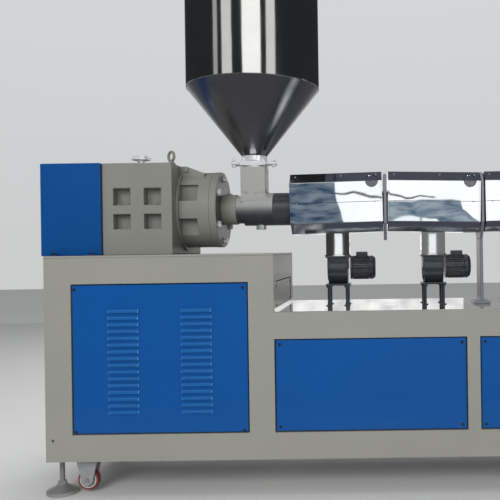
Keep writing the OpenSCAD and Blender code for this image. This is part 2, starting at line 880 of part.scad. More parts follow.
module screw() {
    screw_r = bore_d / 2 - screw_clearance;
    root_r = screw_r * 0.72;
    length = barrel_end - feed_at;
    color(steel) axis_to_x(x0 + feed_at, axis_z) {
        cylinder(r = screw_r, h = throat_at - throat_bore_d / 2 - 1);
        cylinder(r = root_r, h = length - screw_tip_l);
        translate([0, 0, length - screw_tip_l]) cylinder(r1 = root_r, r2 = 2, h = screw_tip_l - 1);
        translate([0, 0, feed_l]) cylinder(r = screw_r, h = length - feed_l - screw_tip_l - bore_d);
    }
}

module barrel() {
    color(steel) axis_to_x(x0 + barrel_at, axis_z) difference() {
        cylinder(d = barrel_d, h = barrel_end - barrel_at);
        translate([0, 0, -over]) cylinder(d = bore_d, h = barrel_end - barrel_at + 2 * over);
    }
}

module die_flange() {
    color(steel) axis_to_x(x0 + barrel_end - die_flange_t, axis_z) difference() {
        cylinder(r = die_flange_r, h = die_flange_t);
        translate([0, 0, -over]) cylinder(r = barrel_r + seat_gap, h = die_flange_t + 2 * over);
        for (i = [0:die_bolts - 1]) rotate([0, 0, (i + 0.5) * 360 / die_bolts])
            translate([die_pcd / 2, 0, -over]) cylinder(d = die_bolt_d, h = die_flange_t + 2 * over);
    }
}

// The upper half of the covers' eight-sided outline, drawn in Y and Z from the split
function half_outline(w, h, c, low) = [[w, low], [w, h - c], [w - c, h], [c - w, h], [-w, h - c], [-w, low]];

// What the chamfer of the inside is, so that the sheet has one thickness
function inner_chamfer(c, t) = c - t * (2 - sqrt(2));

// Turns a cover's shape with its tilt about its own middle
module tilted(i) {
    middle = x0 + covers_at + i * cover_pitch + cover_l / 2;
    translate([middle, 0, cover_z]) rotate([0, -cover_tilts[i], 0]) children();
}

// Half of a cover as a closed-ended shell, split side down, its middle at the origin
module half_cover() {
    inner_w = cover_half_w - cover_t;
    inner_h = cover_half_h - cover_t;
    difference() {
        along_x(-cover_l / 2, cover_l) polygon(half_outline(cover_half_w, cover_half_h, cover_chamfer, 0));
        along_x(cover_t - cover_l / 2, cover_l - 2 * cover_t)
            polygon(half_outline(inner_w, inner_h, inner_chamfer(cover_chamfer, cover_t), -over));
    }
}

// The round way through a cover's ends, level with the barrel
module barrel_way(i, up) {
    start = x0 + covers_at + i * cover_pitch - cover_gap / 2;
    axis_to_x(start, axis_z) cylinder(r = barrel_r + seat_gap, h = cover_pitch);
    translate([start, -barrel_r - seat_gap, axis_z]) cube([cover_pitch, barrel_d + 2 * seat_gap, up]);
}

module upper_covers() {
    outlet_x = cover_l / 2 - outlet_inset;
    color(polished) for (i = [0:zones - 1]) difference() {
        tilted(i) difference() {
            half_cover();
            translate([outlet_x, 0, cover_half_h - cover_chamfer]) rotate([90, 0, 0])
                cylinder(r = outlet_r, h = cover_half_w + over);
        }
        barrel_way(i, 0.01);
    }
}

module lower_covers() {
    opening = duct_w - 2 * duct_t;
    color(polished) for (i = [0:zones - 1]) difference() {
        tilted(i) mirror([0, 0, 1]) difference() {
            half_cover();
            translate([-opening / 2, -opening / 2, cover_half_h / 2]) cube([opening, opening, cover_half_h]);
        }
        barrel_way(i, 2 * cover_raise);
    }
}

module divider_plates() {
    top = cover_raise + cover_half_h - 4;
    half = cover_half_w - 3;
    start = x0 + covers_at - cover_gap / 2 - divider_t / 2;
    color(dark) for (i = [1:zones - 1]) difference() {
        translate([0, 0, axis_z]) along_x(start + i * cover_pitch, divider_t)
            polygon([[half, -barrel_r], [half, top - cover_chamfer], [half - cover_chamfer, top],
                [cover_chamfer - half, top], [-half, top - cover_chamfer], [-half, -barrel_r],
                [-stand_w / 2, divider_bottom - axis_z], [stand_w / 2, divider_bottom - axis_z]]);
        axis_to_x(x0 + barrel_at, axis_z) cylinder(r = barrel_r + seat_gap, h = barrel_end - barrel_at);
    }
}

// A stand under the barrel: a plate on a foot that rests on the drip tray
module stand(at) {
    reach_x = 24;
    reach_y = 10;
    translate([x0 + at, -stand_w / 2, tray_top]) cube([stand_t, stand_w, divider_bottom - tray_top]);
    translate([x0 + at - reach_x, -stand_w / 2 - reach_y, tray_top])
        cube([stand_t + 2 * reach_x, stand_w + 2 * reach_y, stand_foot_t]);
}

module barrel_stands() {
    color(dark) for (i = [2:zones - 1])
        stand(covers_at + i * cover_pitch - cover_gap / 2 - stand_t / 2);
}

// The middle of zone i along X
function zone_x(i) = x0 + covers_at + i * cover_pitch + cover_l / 2;

module air_ducts() {
    clear = duct_w - 2 * duct_t;
    duct_h = cover_bottom - duct_z + 4;
    color(polished) for (i = [0:zones - 1]) difference() {
        translate([zone_x(i) - duct_w / 2, -duct_w / 2, duct_z]) cube([duct_w, duct_w, duct_h]);
        translate([zone_x(i) - clear / 2, -clear / 2, duct_z - over])
            cube([clear, clear, duct_h + 2 * over]);
        tilted(i) translate([-cover_l / 2, -cover_half_w, -cover_half_h - seat_gap])
            cube([cover_l, 2 * cover_half_w, cover_half_h]);
    }
}

module blower_housings() {
    color(dark) for (i = [0:zones - 1])
        translate([zone_x(i) - blower_l / 2, -blower_w / 2, blower_z]) cube([blower_l, blower_w, blower_h]);
}

module blower_motors() {
    color(dark) for (i = [0:zones - 1]) axis_to_x(zone_x(i) + blower_l / 2, blower_z + blower_h * 0.6)
        cylinder(r = motor_r, h = motor_l);
}

module blower_legs() {
    spread = blower_l / 2 - blower_leg_d;
    color(dark) for (i = [0:zones - 1], s = [-1, 1], t = [-1, 1])
        translate([zone_x(i) + s * spread, t * (blower_w / 2 - blower_leg_d), tray_top])
            cylinder(d = blower_leg_d, h = blower_leg_h);
}

tall_posts();
bed_posts();
bottom_rails();
cabinet_top_rails();
bed_top_rails();
cross_rails();
panel_strips();
louvre_panel_front();
louvre_panel_back();
bed_panel_front_1();
bed_panel_front_2();
bed_panel_back_1();
bed_panel_back_2();
cabinet_end_panel();
bed_end_panel();
step_panel();
cabinet_top_plate();
drip_tray();
foot_pads();
foot_screws();
castor_forks();
castor_axles();
wheel_core_1();
wheel_core_2();
wheel_core_3();
wheel_core_4();
wheel_tyre_1();
wheel_tyre_2();
wheel_tyre_3();
wheel_tyre_4();
belt_guard();
gearbox_housing();
breather();
lifting_eye();
thrust_housing();
retaining_ring();
barrel_collar();
feed_section();
throat_block();
cooling_nipple();
throat_flange();
hopper_spigot();
hopper_cone();
hopper_body();
screw();
barrel();
die_flange();
upper_covers();
lower_covers();
divider_plates();
barrel_stands();
air_ducts();
blower_housings();
blower_motors();
blower_legs();
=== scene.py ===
"""Dresses a single-screw plastic extruder: base with blue panels, drive, feed section, hopper and barrel.

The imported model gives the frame: X runs along the barrel towards the die, Y across the machine, Z up. The
machine's sizes are in millimetres here, and the studio's in metres.
"""

import json
import logging
import math
from dataclasses import dataclass
from enum import Enum
from itertools import product
from typing import Callable, Sequence

import bmesh
import bpy
import numpy as np
from mathutils import Matrix, Vector

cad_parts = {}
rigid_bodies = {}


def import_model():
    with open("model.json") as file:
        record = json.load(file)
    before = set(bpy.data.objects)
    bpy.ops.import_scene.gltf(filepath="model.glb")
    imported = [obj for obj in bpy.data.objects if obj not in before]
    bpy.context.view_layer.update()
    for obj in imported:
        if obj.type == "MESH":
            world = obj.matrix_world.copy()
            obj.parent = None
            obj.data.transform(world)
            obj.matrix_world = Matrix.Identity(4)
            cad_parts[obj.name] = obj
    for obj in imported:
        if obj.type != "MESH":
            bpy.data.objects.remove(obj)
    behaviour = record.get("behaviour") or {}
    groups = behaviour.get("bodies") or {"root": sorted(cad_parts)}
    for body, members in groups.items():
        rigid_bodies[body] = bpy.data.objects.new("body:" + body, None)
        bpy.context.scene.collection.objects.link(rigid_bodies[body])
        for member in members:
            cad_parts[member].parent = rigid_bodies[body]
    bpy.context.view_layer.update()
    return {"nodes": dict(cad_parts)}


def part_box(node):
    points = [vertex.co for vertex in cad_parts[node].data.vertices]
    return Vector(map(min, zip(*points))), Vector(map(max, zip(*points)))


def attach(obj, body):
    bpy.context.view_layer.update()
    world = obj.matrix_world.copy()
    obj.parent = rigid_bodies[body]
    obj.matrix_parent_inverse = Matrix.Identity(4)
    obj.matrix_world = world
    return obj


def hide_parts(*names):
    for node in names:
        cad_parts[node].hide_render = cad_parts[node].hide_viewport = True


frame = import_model()

logging.basicConfig(level=logging.INFO, format="%(levelname)s %(message)s")
log = logging.getLogger("extruder")

MM = 0.001
NEAR = 1e-6
FLAT_DEG = 0.6
SHARP_DEG = 32.0
AXIS_Z = 1000.0
MACHINE = "machine"
NODES = frame["nodes"]
Colour = tuple[float, float, float]
Pair = tuple[float, float]
Triple = tuple[float, float, float]
Setting = object


class Box:
    """A box in the machine's frame, with its corners, its middle and its size in millimetres."""

    def __init__(self, low: Sequence[float], high: Sequence[float]) -> None:
        """Takes two opposite corners in metres."""
        self.low, self.high = Vector(low) / MM, Vector(high) / MM
        self.mid, self.size = (self.low + self.high) / 2, self.high - self.low


class Axis(Enum):
    """The directions that a shape's own Z axis can be turned to."""

    RIGHT = (1.0, 0.0, 0.0)
    LEFT = (-1.0, 0.0, 0.0)
    BACK = (0.0, 1.0, 0.0)
    FRONT = (0.0, -1.0, 0.0)
    UP = (0.0, 0.0, 1.0)
    DOWN = (0.0, 0.0, -1.0)


def facing(at: Sequence[float], axis: Axis | Sequence[float], spin: float = 0.0) -> Matrix:
    """Gives the matrix that puts a shape drawn round Z at a place.

    Args:
        at: The place of the shape's origin, in millimetres.
        axis: Where its Z axis points.
        spin: How far it is turned about that axis, in degrees.

    Returns:
        The matrix from the shape's own frame to the machine's.
    """
    way = Vector(axis.value if isinstance(axis, Axis) else axis)
    return shift(*at) @ way.to_track_quat("Z", "Y").to_matrix().to_4x4() @ turn(spin)


def shift(x: float = 0.0, y: float = 0.0, z: float = 0.0) -> Matrix:
    """Gives the matrix that moves a shape by millimetres."""
    return Matrix.Translation(Vector((x, y, z)) * MM)


def turn(degrees: float, axis: str = "Z") -> Matrix:
    """Gives the matrix that turns a shape about one of its own axes."""
    return Matrix.Rotation(math.radians(degrees), 4, axis)


# Node trees.


class Board:
    """A node tree with short calls to add nodes and join them."""

    def __init__(self, tree: bpy.types.NodeTree) -> None:
        """Takes a tree and empties it."""
        self.tree = tree
        tree.nodes.clear()

    def add(self, kind: str, inputs: dict[str | int, Setting] | None = None,
            **settings: Setting) -> bpy.types.Node:
        """Adds a node.

        Args:
            kind: The node's type, without the leading ShaderNode.
            inputs: A value, or a socket to link, for each input by name or number.
            **settings: The node's own properties.

        Returns:
            The new node.
        """
        node = self.tree.nodes.new("NodeGroup" + kind if kind in ("Input", "Output") else "ShaderNode" + kind)
        for name, value in settings.items():
            setattr(node, name, value)
        for key, value in (inputs or {}).items():
            socket = node.inputs[key]
            if isinstance(value, bpy.types.NodeSocket):
                self.tree.links.new(value, socket)
            else:
                socket.default_value = value
        return node

    def math(self, operation: str, a: Setting, b: Setting = 0.0, clamp: bool = False) -> bpy.types.NodeSocket:
        """Adds a Math node on two values or sockets and returns its output."""
        return self.add("Math", {0: a, 1: b}, operation=operation, use_clamp=clamp).outputs[0]

    def blend(self, factor: Setting, a: Setting, b: Setting) -> bpy.types.NodeSocket:
        """Mixes two colours.

        Args:
            factor: How much of the second colour there is.
            a: The first colour.
            b: The second colour.

        Returns:
            The mixed colour's socket.
        """
        node = self.add("Mix", {0: factor}, data_type="RGBA")
        for index, value in ((6, a), (7, b)):
            if isinstance(value, bpy.types.NodeSocket):
                self.tree.links.new(value, node.inputs[index])
            else:
                node.inputs[index].default_value = (*value[:3], 1.0)
        return node.outputs[2]

    def spread(self, value: Setting, low: Setting, high: Setting, to_low: float = 0.0,
               to_high: float = 1.0) -> bpy.types.NodeSocket:
        """Maps a value from one range to another, clamped, and returns the result's socket."""
        return self.add("MapRange", {"Value": value, "From Min": low, "From Max": high,
                                     "To Min": to_low, "To Max": to_high}).outputs[0]

    def place(self) -> bpy.types.NodeSocket:
        """Adds the place on the machine and returns its socket."""
        return self.add("TexCoord").outputs["Object"]

    def height(self, vector: bpy.types.NodeSocket) -> bpy.types.NodeSocket:
        """Takes a vector apart and returns the socket of its Z."""
        return self.add("SeparateXYZ", {0: vector}).outputs[2]

    def stretched(self, stretch: Setting) -> bpy.types.NodeSocket:
        """Stretches the place on the machine along its axes and returns the result's socket."""
        return self.add("VectorMath", {0: self.place(), 1: stretch}, operation="MULTIPLY").outputs[0]

    def noise(self, vector: bpy.types.NodeSocket, scale: Setting, detail: float,
              roughness: float = 0.5) -> bpy.types.NodeSocket:
        """Adds a noise texture and returns its value's socket."""
        return self.add("TexNoise", {"Vector": vector, "Scale": scale, "Detail": detail,
                                     "Roughness": roughness}).outputs[0]


def new_material(name: str) -> tuple[bpy.types.Material, Board]:
    """Makes a material with an empty node tree.

    Args:
        name: The material's name.

    Returns:
        The material and a board on its tree.
    """
    material = bpy.data.materials.new(name)
    material.use_nodes = True
    return material, Board(material.node_tree)


def node_group(name: str, inputs: dict[str, Setting], output: str,
               kind: str = "NodeSocketFloat") -> tuple[bpy.types.NodeTree, Board, bpy.types.Node]:
    """Starts a shader node group.

    Args:
        name: The group's name.
        inputs: Each input's name and its value to start from, a number or a triple.
        output: The name of its one output.
        kind: That output's socket type.

    Returns:
        The group's tree, a board on it, and its input node.
    """
    tree = bpy.data.node_groups.new(name, "ShaderNodeTree")
    for key, value in inputs.items():
        socket_type = "NodeSocketVector" if isinstance(value, tuple) else "NodeSocketFloat"
        tree.interface.new_socket(key, in_out="INPUT", socket_type=socket_type).default_value = value
    tree.interface.new_socket(output, in_out="OUTPUT", socket_type=kind)
    board = Board(tree)
    return tree, board, board.add("Input")


class Effects:
    """The node groups that the finishes share, each made once."""

    def __init__(self) -> None:
        """Makes the groups."""
        self.mottle = self._mottle()
        self.wear = self._wear()
        self.dust = self._dust()
        self.sheet = self._sheet()

    def patches(self, board: Board, scale: float, contrast: float = 0.3,
                stretch: Triple = (1.0, 1.0, 1.0)) -> bpy.types.NodeSocket:
        """Adds the soft patches to a material and returns their mask's socket."""
        return board.add("Group", {"Scale": scale, "Contrast": contrast, "Stretch": stretch},
                         node_tree=self.mottle).outputs[0]

    def dusted(self, board: Board, amount: float, low: float) -> bpy.types.NodeSocket:
        """Adds the dust to a material and returns its mask's socket."""
        return board.add("Group", {"Amount": amount, "Low": low}, node_tree=self.dust).outputs[0]

    def relief(self, board: Board, wave: float, scale: float, depth: float, wave_scale: float = 5.0,
               stretch: Triple = (1.0, 1.0, 1.0)) -> bpy.types.NodeSocket:
        """Adds the sheet's waves and grain to a material and returns the normal's socket.

        Args:
            board: The material's board.
            wave: The waves' depth.
            scale: The grain's scale.
            depth: The grain's depth.
            wave_scale: The waves' scale.
            stretch: How the grain is stretched.

        Returns:
            The socket of the normal.
        """
        return board.add("Group", {"Wave scale": wave_scale, "Wave depth": wave, "Grain scale": scale,
                                   "Grain depth": depth, "Grain stretch": stretch},
                         node_tree=self.sheet).outputs[0]

    def _mottle(self) -> bpy.types.NodeTree:
        """Soft patches, or streaks where the stretch is uneven, as a mask from 0 to 1.

        Returns:
            The group's tree.
        """
        inputs = {"Scale": 8.0, "Stretch": (1.0, 1.0, 1.0), "Contrast": 0.25}
        tree, board, given = node_group("Mottle", inputs, "Mask")
        drawn = board.stretched(given.outputs["Stretch"])
        noise = board.noise(drawn, given.outputs["Scale"], 5.0, 0.6)
        low = board.math("SUBTRACT", 0.5, given.outputs["Contrast"])
        high = board.math("ADD", 0.5, given.outputs["Contrast"])
        board.add("Output", {"Mask": board.spread(noise, low, high)})
        return tree

    def _wear(self) -> bpy.types.NodeTree:
        """Worn edges: where the surface turns sharply, broken up by noise.

        Returns:
            The group's tree.
        """
        inputs = {"Radius": 0.003, "Breakup": 60.0, "Amount": 0.5}
        tree, board, given = node_group("Edge wear", inputs, "Mask")
        soft = board.add("Bevel", {"Radius": given.outputs["Radius"]}, samples=4).outputs[0]
        flat = board.add("NewGeometry").outputs["Normal"]
        turn = board.add("VectorMath", {0: soft, 1: flat}, operation="DOT_PRODUCT").outputs["Value"]
        edge = board.spread(turn, 0.995, 0.9)
        spots = board.spread(board.noise(board.place(), given.outputs["Breakup"], 6.0), 0.48, 0.62)
        worn = board.math("MULTIPLY", board.math("MULTIPLY", edge, spots), given.outputs["Amount"], True)
        board.add("Output", {"Mask": worn})
        return tree

    def _dust(self) -> bpy.types.NodeTree:
        """Dust that lies on what faces up and clings near the floor.

        Returns:
            The group's tree.
        """
        tree, board, given = node_group("Dust", {"Amount": 0.3, "Low": 0.12}, "Mask")
        normal = board.height(board.add("NewGeometry").outputs["Normal"])
        place = board.place()
        height = board.height(place)
        lying = board.spread(normal, 0.5, 1.0)
        low = board.math("MULTIPLY", board.spread(height, 0.32, 0.0), given.outputs["Low"])
        cloud = board.spread(board.noise(place, 14.0, 6.0, 0.7), 0.35, 0.7)
        there = board.math("ADD", board.math("MULTIPLY", lying, given.outputs["Amount"]), low)
        board.add("Output", {"Mask": board.math("MULTIPLY", there, board.math("ADD", cloud, 0.35), True)})
        return tree

    def _sheet(self) -> bpy.types.NodeTree:
        """The normal of a surface that is slightly wavy, with a finer texture over the waves.

        Returns:
            The group's tree.
        """
        inputs = {"Wave scale": 5.0, "Wave depth": 0.0005, "Grain scale": 500.0, "Grain depth": 0.00002,
                  "Grain stretch": (1.0, 1.0, 1.0)}
        tree, board, given = node_group("Sheet relief", inputs, "Normal", "NodeSocketVector")
        wave = board.noise(board.place(), given.outputs["Wave scale"], 1.0)
        drawn = board.stretched(given.outputs["Grain stretch"])
        grain = board.noise(drawn, given.outputs["Grain scale"], 3.0)
        height = board.math("ADD", board.math("MULTIPLY", wave, given.outputs["Wave depth"]),
                            board.math("MULTIPLY", grain, given.outputs["Grain depth"]))
        bump = board.add("Bump", {"Strength": 1.0, "Distance": 1.0, "Height": height}).outputs[0]
        board.add("Output", {"Normal": bump})
        return tree


# Finishes.


@dataclass(frozen=True)
class Enamel:
    """Sprayed enamel, with its undercoat on worn edges, dust and a little drift of colour."""

    name: str
    colour: Colour
    shade: Colour
    slot: str
    roughness: float = 0.38
    worn: Colour = (0.12, 0.11, 0.10)
    wear: float = 0.5
    dust: float = 0.25
    peel: float = 0.000012
    peel_scale: float = 420.0
    wave: float = 0.0006
    coat: float = 0.25
    specular: float = 0.5

    def fill(self, board: Board, shader: bpy.types.Node, effects: Effects) -> None:
        """Joins the finish's nodes to the material's shader.

        Args:
            board: The material's board.
            shader: The material's shader.
            effects: The shared node groups.
        """
        patches = effects.patches(board, 2.6)
        fine = effects.patches(board, 34.0, 0.35)
        worn = board.add("Group", {"Amount": self.wear}, node_tree=effects.wear).outputs[0]
        dust = effects.dusted(board, self.dust, self.dust * 1.2)
        normal = effects.relief(board, self.wave, self.peel_scale, self.peel, 3.4)
        paint = board.blend(patches, self.colour, self.shade)
        paint = board.blend(worn, paint, self.worn)
        paint = board.blend(dust, paint, (0.32, 0.30, 0.26))
        rough = board.spread(fine, 0.0, 1.0, self.roughness - 0.04, self.roughness + 0.07)
        rough = board.math("ADD", rough, board.math("MULTIPLY", board.math("ADD", dust, worn), 0.3), True)
        join(board, shader, {"Base Color": paint, "Roughness": rough, "Normal": normal})
        shader.inputs["Specular IOR Level"].default_value = self.specular
        shader.inputs["Coat Weight"].default_value = self.coat
        shader.inputs["Coat Roughness"].default_value = 0.12


@dataclass(frozen=True)
class Metal:
    """Bare or plated metal, with waves and grain in the surface, and smudges that dull it."""

    name: str
    colour: Colour
    shade: Colour
    slot: str
    roughness: float = 0.2
    smudge: float = 0.12
    wave: float = 0.0
    wave_scale: float = 5.0
    grain: float = 0.00001
    grain_scale: float = 300.0
    stretch: Triple = (1.0, 1.0, 1.0)
    patch: float = 6.0
    dust: float = 0.1
    metallic: float = 1.0

    def fill(self, board: Board, shader: bpy.types.Node, effects: Effects) -> None:
        """Joins the finish's nodes to the material's shader.

        Args:
            board: The material's board.
            shader: The material's shader.
            effects: The shared node groups.
        """
        patches = effects.patches(board, self.patch, 0.28)
        streaks = effects.patches(board, self.grain_scale * 0.35, stretch=self.stretch)
        dust = effects.dusted(board, self.dust, self.dust)
        normal = effects.relief(board, self.wave, self.grain_scale, self.grain, self.wave_scale, self.stretch)
        tone = board.blend(patches, self.colour, self.shade)
        tone = board.blend(dust, tone, (0.30, 0.29, 0.27))
        smudged = board.math("MULTIPLY", board.math("MULTIPLY", patches, streaks), self.smudge)
        clean = board.math("ADD", smudged, self.roughness)
        rough = board.math("ADD", clean, board.math("MULTIPLY", dust, 0.4), True)
        bare = board.math("SUBTRACT", self.metallic, board.math("MULTIPLY", dust, 0.6), True)
        join(board, shader, {"Base Color": tone, "Roughness": rough, "Metallic": bare, "Normal": normal})


@dataclass(frozen=True)
class SheenAndShadeSteel:
    """Machined steel whose pale top is partly enamel and partly painted sheen, and whose dark lower half is
    painted shade.
    """

    name: str
    # The pale top's colour: partly the casting's enamel, partly painted sheen.
    paint: Colour
    # The dark steel's colour, which paints shade on the lower half.
    steel: Colour
    slot: str
    # The heights where the painted shade is full and where the pale top with its painted sheen is full.
    shade_z: float
    paint_and_sheen_z: float

    def fill(self, board: Board, shader: bpy.types.Node, effects: Effects) -> None:
        """Joins the finish's nodes to the material's shader.

        Args:
            board: The material's board.
            shader: The material's shader.
            effects: The shared node groups.
        """
        patches = effects.patches(board, 22.0)
        ragged = board.math("ADD", board.height(board.place()), board.math("MULTIPLY", patches, 0.006))
        # The pale top, partly enamel and partly painted sheen, rises with height over the painted shade
        # below.
        paint_and_sheen = board.add("MapRange", {"Value": ragged, "From Min": self.shade_z, "From Max": self.paint_and_sheen_z},
                            interpolation_type="SMOOTHSTEP").outputs[0]
        turned = effects.patches(board, 160.0, stretch=(6.0, 0.2, 0.2))
        normal = effects.relief(board, 0.0001, 260.0, 0.00001, stretch=(5.0, 0.4, 0.4))
        # The lower half's dark steel is painted shade.
        dark = board.blend(patches, self.steel, tuple(c * 1.5 for c in self.steel))
        tone = board.blend(paint_and_sheen, dark, self.paint)
        rough = board.spread(turned, 0.0, 1.0, 0.30, 0.42)
        metal = board.math("MULTIPLY", board.math("SUBTRACT", 1.0, paint_and_sheen), 0.6, True)
        join(board, shader, {"Base Color": tone, "Roughness": rough, "Metallic": metal, "Normal": normal})


@dataclass(frozen=True)
class Moulding:
    """Moulded nylon or polyurethane, scuffed and dusty."""

    name: str
    colour: Colour
    shade: Colour
    slot: str
    roughness: float = 0.45
    dust: float = 0.3
    depth: float = 0.00003
    scatter: float = 0.0

    def fill(self, board: Board, shader: bpy.types.Node, effects: Effects) -> None:
        """Joins the finish's nodes to the material's shader.

        Args:
            board: The material's board.
            shader: The material's shader.
            effects: The shared node groups.
        """
        patches = effects.patches(board, 40.0)
        dust = effects.dusted(board, self.dust, self.dust)
        normal = effects.relief(board, 0.0, 600.0, self.depth)
        tone = board.blend(dust, board.blend(patches, self.colour, self.shade), (0.30, 0.28, 0.25))
        rough = board.spread(patches, 0.0, 1.0, self.roughness, self.roughness + 0.15)
        join(board, shader, {"Base Color": tone, "Roughness": rough, "Normal": normal})
        shader.inputs["Subsurface Weight"].default_value = self.scatter
        shader.inputs["Subsurface Scale"].default_value = 0.004


Finish = Enamel | Metal | SheenAndShadeSteel | Moulding


def join(board: Board, shader: bpy.types.Node, sockets: dict[str, bpy.types.NodeSocket]) -> None:
    """Links sockets to the shader's inputs by name."""
    for name, socket in sockets.items():
        board.tree.links.new(socket, shader.inputs[name])


FRAME_ENAMEL = Enamel("frame enamel", (0.278, 0.276, 0.247), (0.250, 0.249, 0.223), "frame_paint",
                      worn=(0.15, 0.14, 0.12), wear=0.35)
BLUE_ENAMEL = Enamel("blue enamel", (0.0002, 0.072, 0.285), (0.0002, 0.064, 0.255), "blue_paint",
                     roughness=0.34, worn=(0.08, 0.14, 0.26), wear=0.3, dust=0.05, wave=0.0010, coat=0.05,
                     specular=0.25)
# The louvres' blue is lighter than the panel's, with lighter worn edges still: painted highlight where light
# catches the hoods.
HOOD_LIT_ENAMEL = Enamel("louvre enamel painted highlight", (0.004, 0.100, 0.330), (0.002, 0.086, 0.298), "blue_paint",
                     roughness=0.30, worn=(0.02, 0.18, 0.42), wear=0.3, dust=0.02, wave=0.0, coat=0.1)
# The louvres' ends, much lighter again: painted highlight on the hoods' ends.
HOOD_END_LIT_ENAMEL = Enamel("louvre end enamel painted highlight", (0.200, 0.470, 0.760), (0.160, 0.420, 0.700), "blue_paint",
                         roughness=0.30, worn=(0.12, 0.36, 0.62), wear=0.3, dust=0.02, wave=0.0, coat=0.1)
# The same blue enamel made darker for the belt guard: painted shade.
GUARD_SHADED_ENAMEL = Enamel("guard enamel painted shade", (0.0004, 0.058, 0.225), (0.0004, 0.052, 0.200), "blue_paint",
                      roughness=0.32, worn=(0.08, 0.14, 0.26), wear=0.3, dust=0.05, wave=0.0010, coat=0.05,
                      specular=0.25)
CAST_ENAMEL = Enamel("casting enamel", (0.210, 0.209, 0.187), (0.186, 0.185, 0.167), "casting_paint",
                     roughness=0.42, worn=(0.14, 0.13, 0.12), wear=0.5, peel=0.00010, peel_scale=130.0,
                     wave=0.0008, coat=0.1)
THROAT_ENAMEL = Enamel("throat enamel", (0.325, 0.330, 0.312), (0.290, 0.295, 0.280), "casting_paint",
                       roughness=0.4, peel=0.00006, peel_scale=150.0, wear=0.4)
DARK_ENAMEL = Enamel("dark enamel", (0.016, 0.019, 0.026), (0.026, 0.029, 0.036), "black_paint",
                     roughness=0.36, worn=(0.18, 0.18, 0.18), wear=0.5, dust=0.35)
GREY_ENAMEL = Enamel("divider enamel", (0.180, 0.186, 0.205), (0.140, 0.147, 0.162), "plate_steel",
                     roughness=0.35, dust=0.2)
MIRROR_STEEL = Metal("mirror stainless", (0.60, 0.61, 0.62), (0.52, 0.54, 0.56), "polished_steel",
                     roughness=0.075, smudge=0.08, wave=0.0008, wave_scale=7.0, grain=0.0000015,
                     grain_scale=260.0, stretch=(1.0, 1.0, 0.08), dust=0.03)
SATIN_STEEL = Metal("satin stainless", (0.31, 0.31, 0.33), (0.26, 0.265, 0.285), "polished_steel",
                    roughness=0.235, smudge=0.08, wave=0.0004, wave_scale=6.0, grain=0.000004,
                    grain_scale=300.0, dust=0.0)
COVER_STEEL = Metal("cover stainless", (0.66, 0.68, 0.70), (0.56, 0.60, 0.64), "polished_steel",
                    roughness=0.018, smudge=0.02, wave=0.0005, wave_scale=8.0, grain=0.0000007,
                    grain_scale=260.0, stretch=(0.08, 1.0, 1.0), dust=0.04)
SLEEVE_STEEL = Metal("sleeve stainless", (0.70, 0.71, 0.72), (0.64, 0.65, 0.66), "polished_steel",
                     roughness=0.02, smudge=0.04, wave=0.00015, wave_scale=8.0, grain=0.0000015,
                     grain_scale=260.0, dust=0.02)
TRAY_STEEL = Metal("tray stainless", (0.86, 0.86, 0.87), (0.78, 0.79, 0.80), "polished_steel", roughness=0.04,
                   smudge=0.05, wave=0.0005, wave_scale=9.0, grain=0.0000015, grain_scale=260.0,
                   stretch=(0.3, 1.0, 1.0), dust=0.05)
GROMMET_STEEL = Metal("outlet plate", (0.24, 0.24, 0.26), (0.12, 0.12, 0.135), "dark_steel", roughness=0.30,
                      patch=60.0, metallic=0.8)
MACHINED_STEEL = Metal("machined steel", (0.44, 0.44, 0.43), (0.34, 0.34, 0.34), "bright_steel",
                       roughness=0.32, grain=0.000012, grain_scale=420.0, stretch=(3.0, 0.4, 0.4),
                       patch=18.0, metallic=0.7)
OILED_STEEL = Metal("oiled steel", (0.100, 0.105, 0.115), (0.065, 0.068, 0.077), "dark_steel", roughness=0.27,
                    grain=0.00001, grain_scale=300.0, stretch=(5.0, 0.3, 0.3), patch=12.0, metallic=0.6)
ZINC = Metal("zinc plate", (0.60, 0.61, 0.62), (0.46, 0.47, 0.48), "zinc", roughness=0.36, patch=90.0,
             grain=0.00002, metallic=0.65)
# Plating lighter than the zinc: partly its own brightness, partly painted highlight on strongly lit parts.
BRIGHT_LIT_PLATE = Metal("bright plate painted highlight", (0.86, 0.87, 0.89), (0.66, 0.67, 0.69), "zinc", roughness=0.22,
                     patch=60.0, metallic=0.45)
BOLT_STEEL = Metal("bolt steel", (0.50, 0.50, 0.49), (0.34, 0.34, 0.33), "bright_steel", roughness=0.34,
                   patch=120.0, grain=0.00001, metallic=0.65)
BLACK_STEEL = Metal("blackened steel", (0.012, 0.013, 0.018), (0.022, 0.023, 0.028), "dark_steel",
                    roughness=0.42, patch=90.0, metallic=0.2)
NYLON = Moulding("wheel nylon", (0.50, 0.50, 0.49), (0.42, 0.42, 0.41), "wheel_nylon", scatter=0.1)
# The feed tube's finish: pale top partly enamel and partly painted sheen, dark lower half painted shade.
TUBE_SHEEN_AND_SHADE = SheenAndShadeSteel("feed tube painted sheen and shade", (0.310, 0.322, 0.308), (0.050, 0.055, 0.070), "casting_paint",
                         0.972, 1.030)
RED_TYRE = Moulding("red polyurethane", (0.17, 0.011, 0.017), (0.13, 0.010, 0.015), "red_tyre",
                    roughness=0.40, dust=0.18)


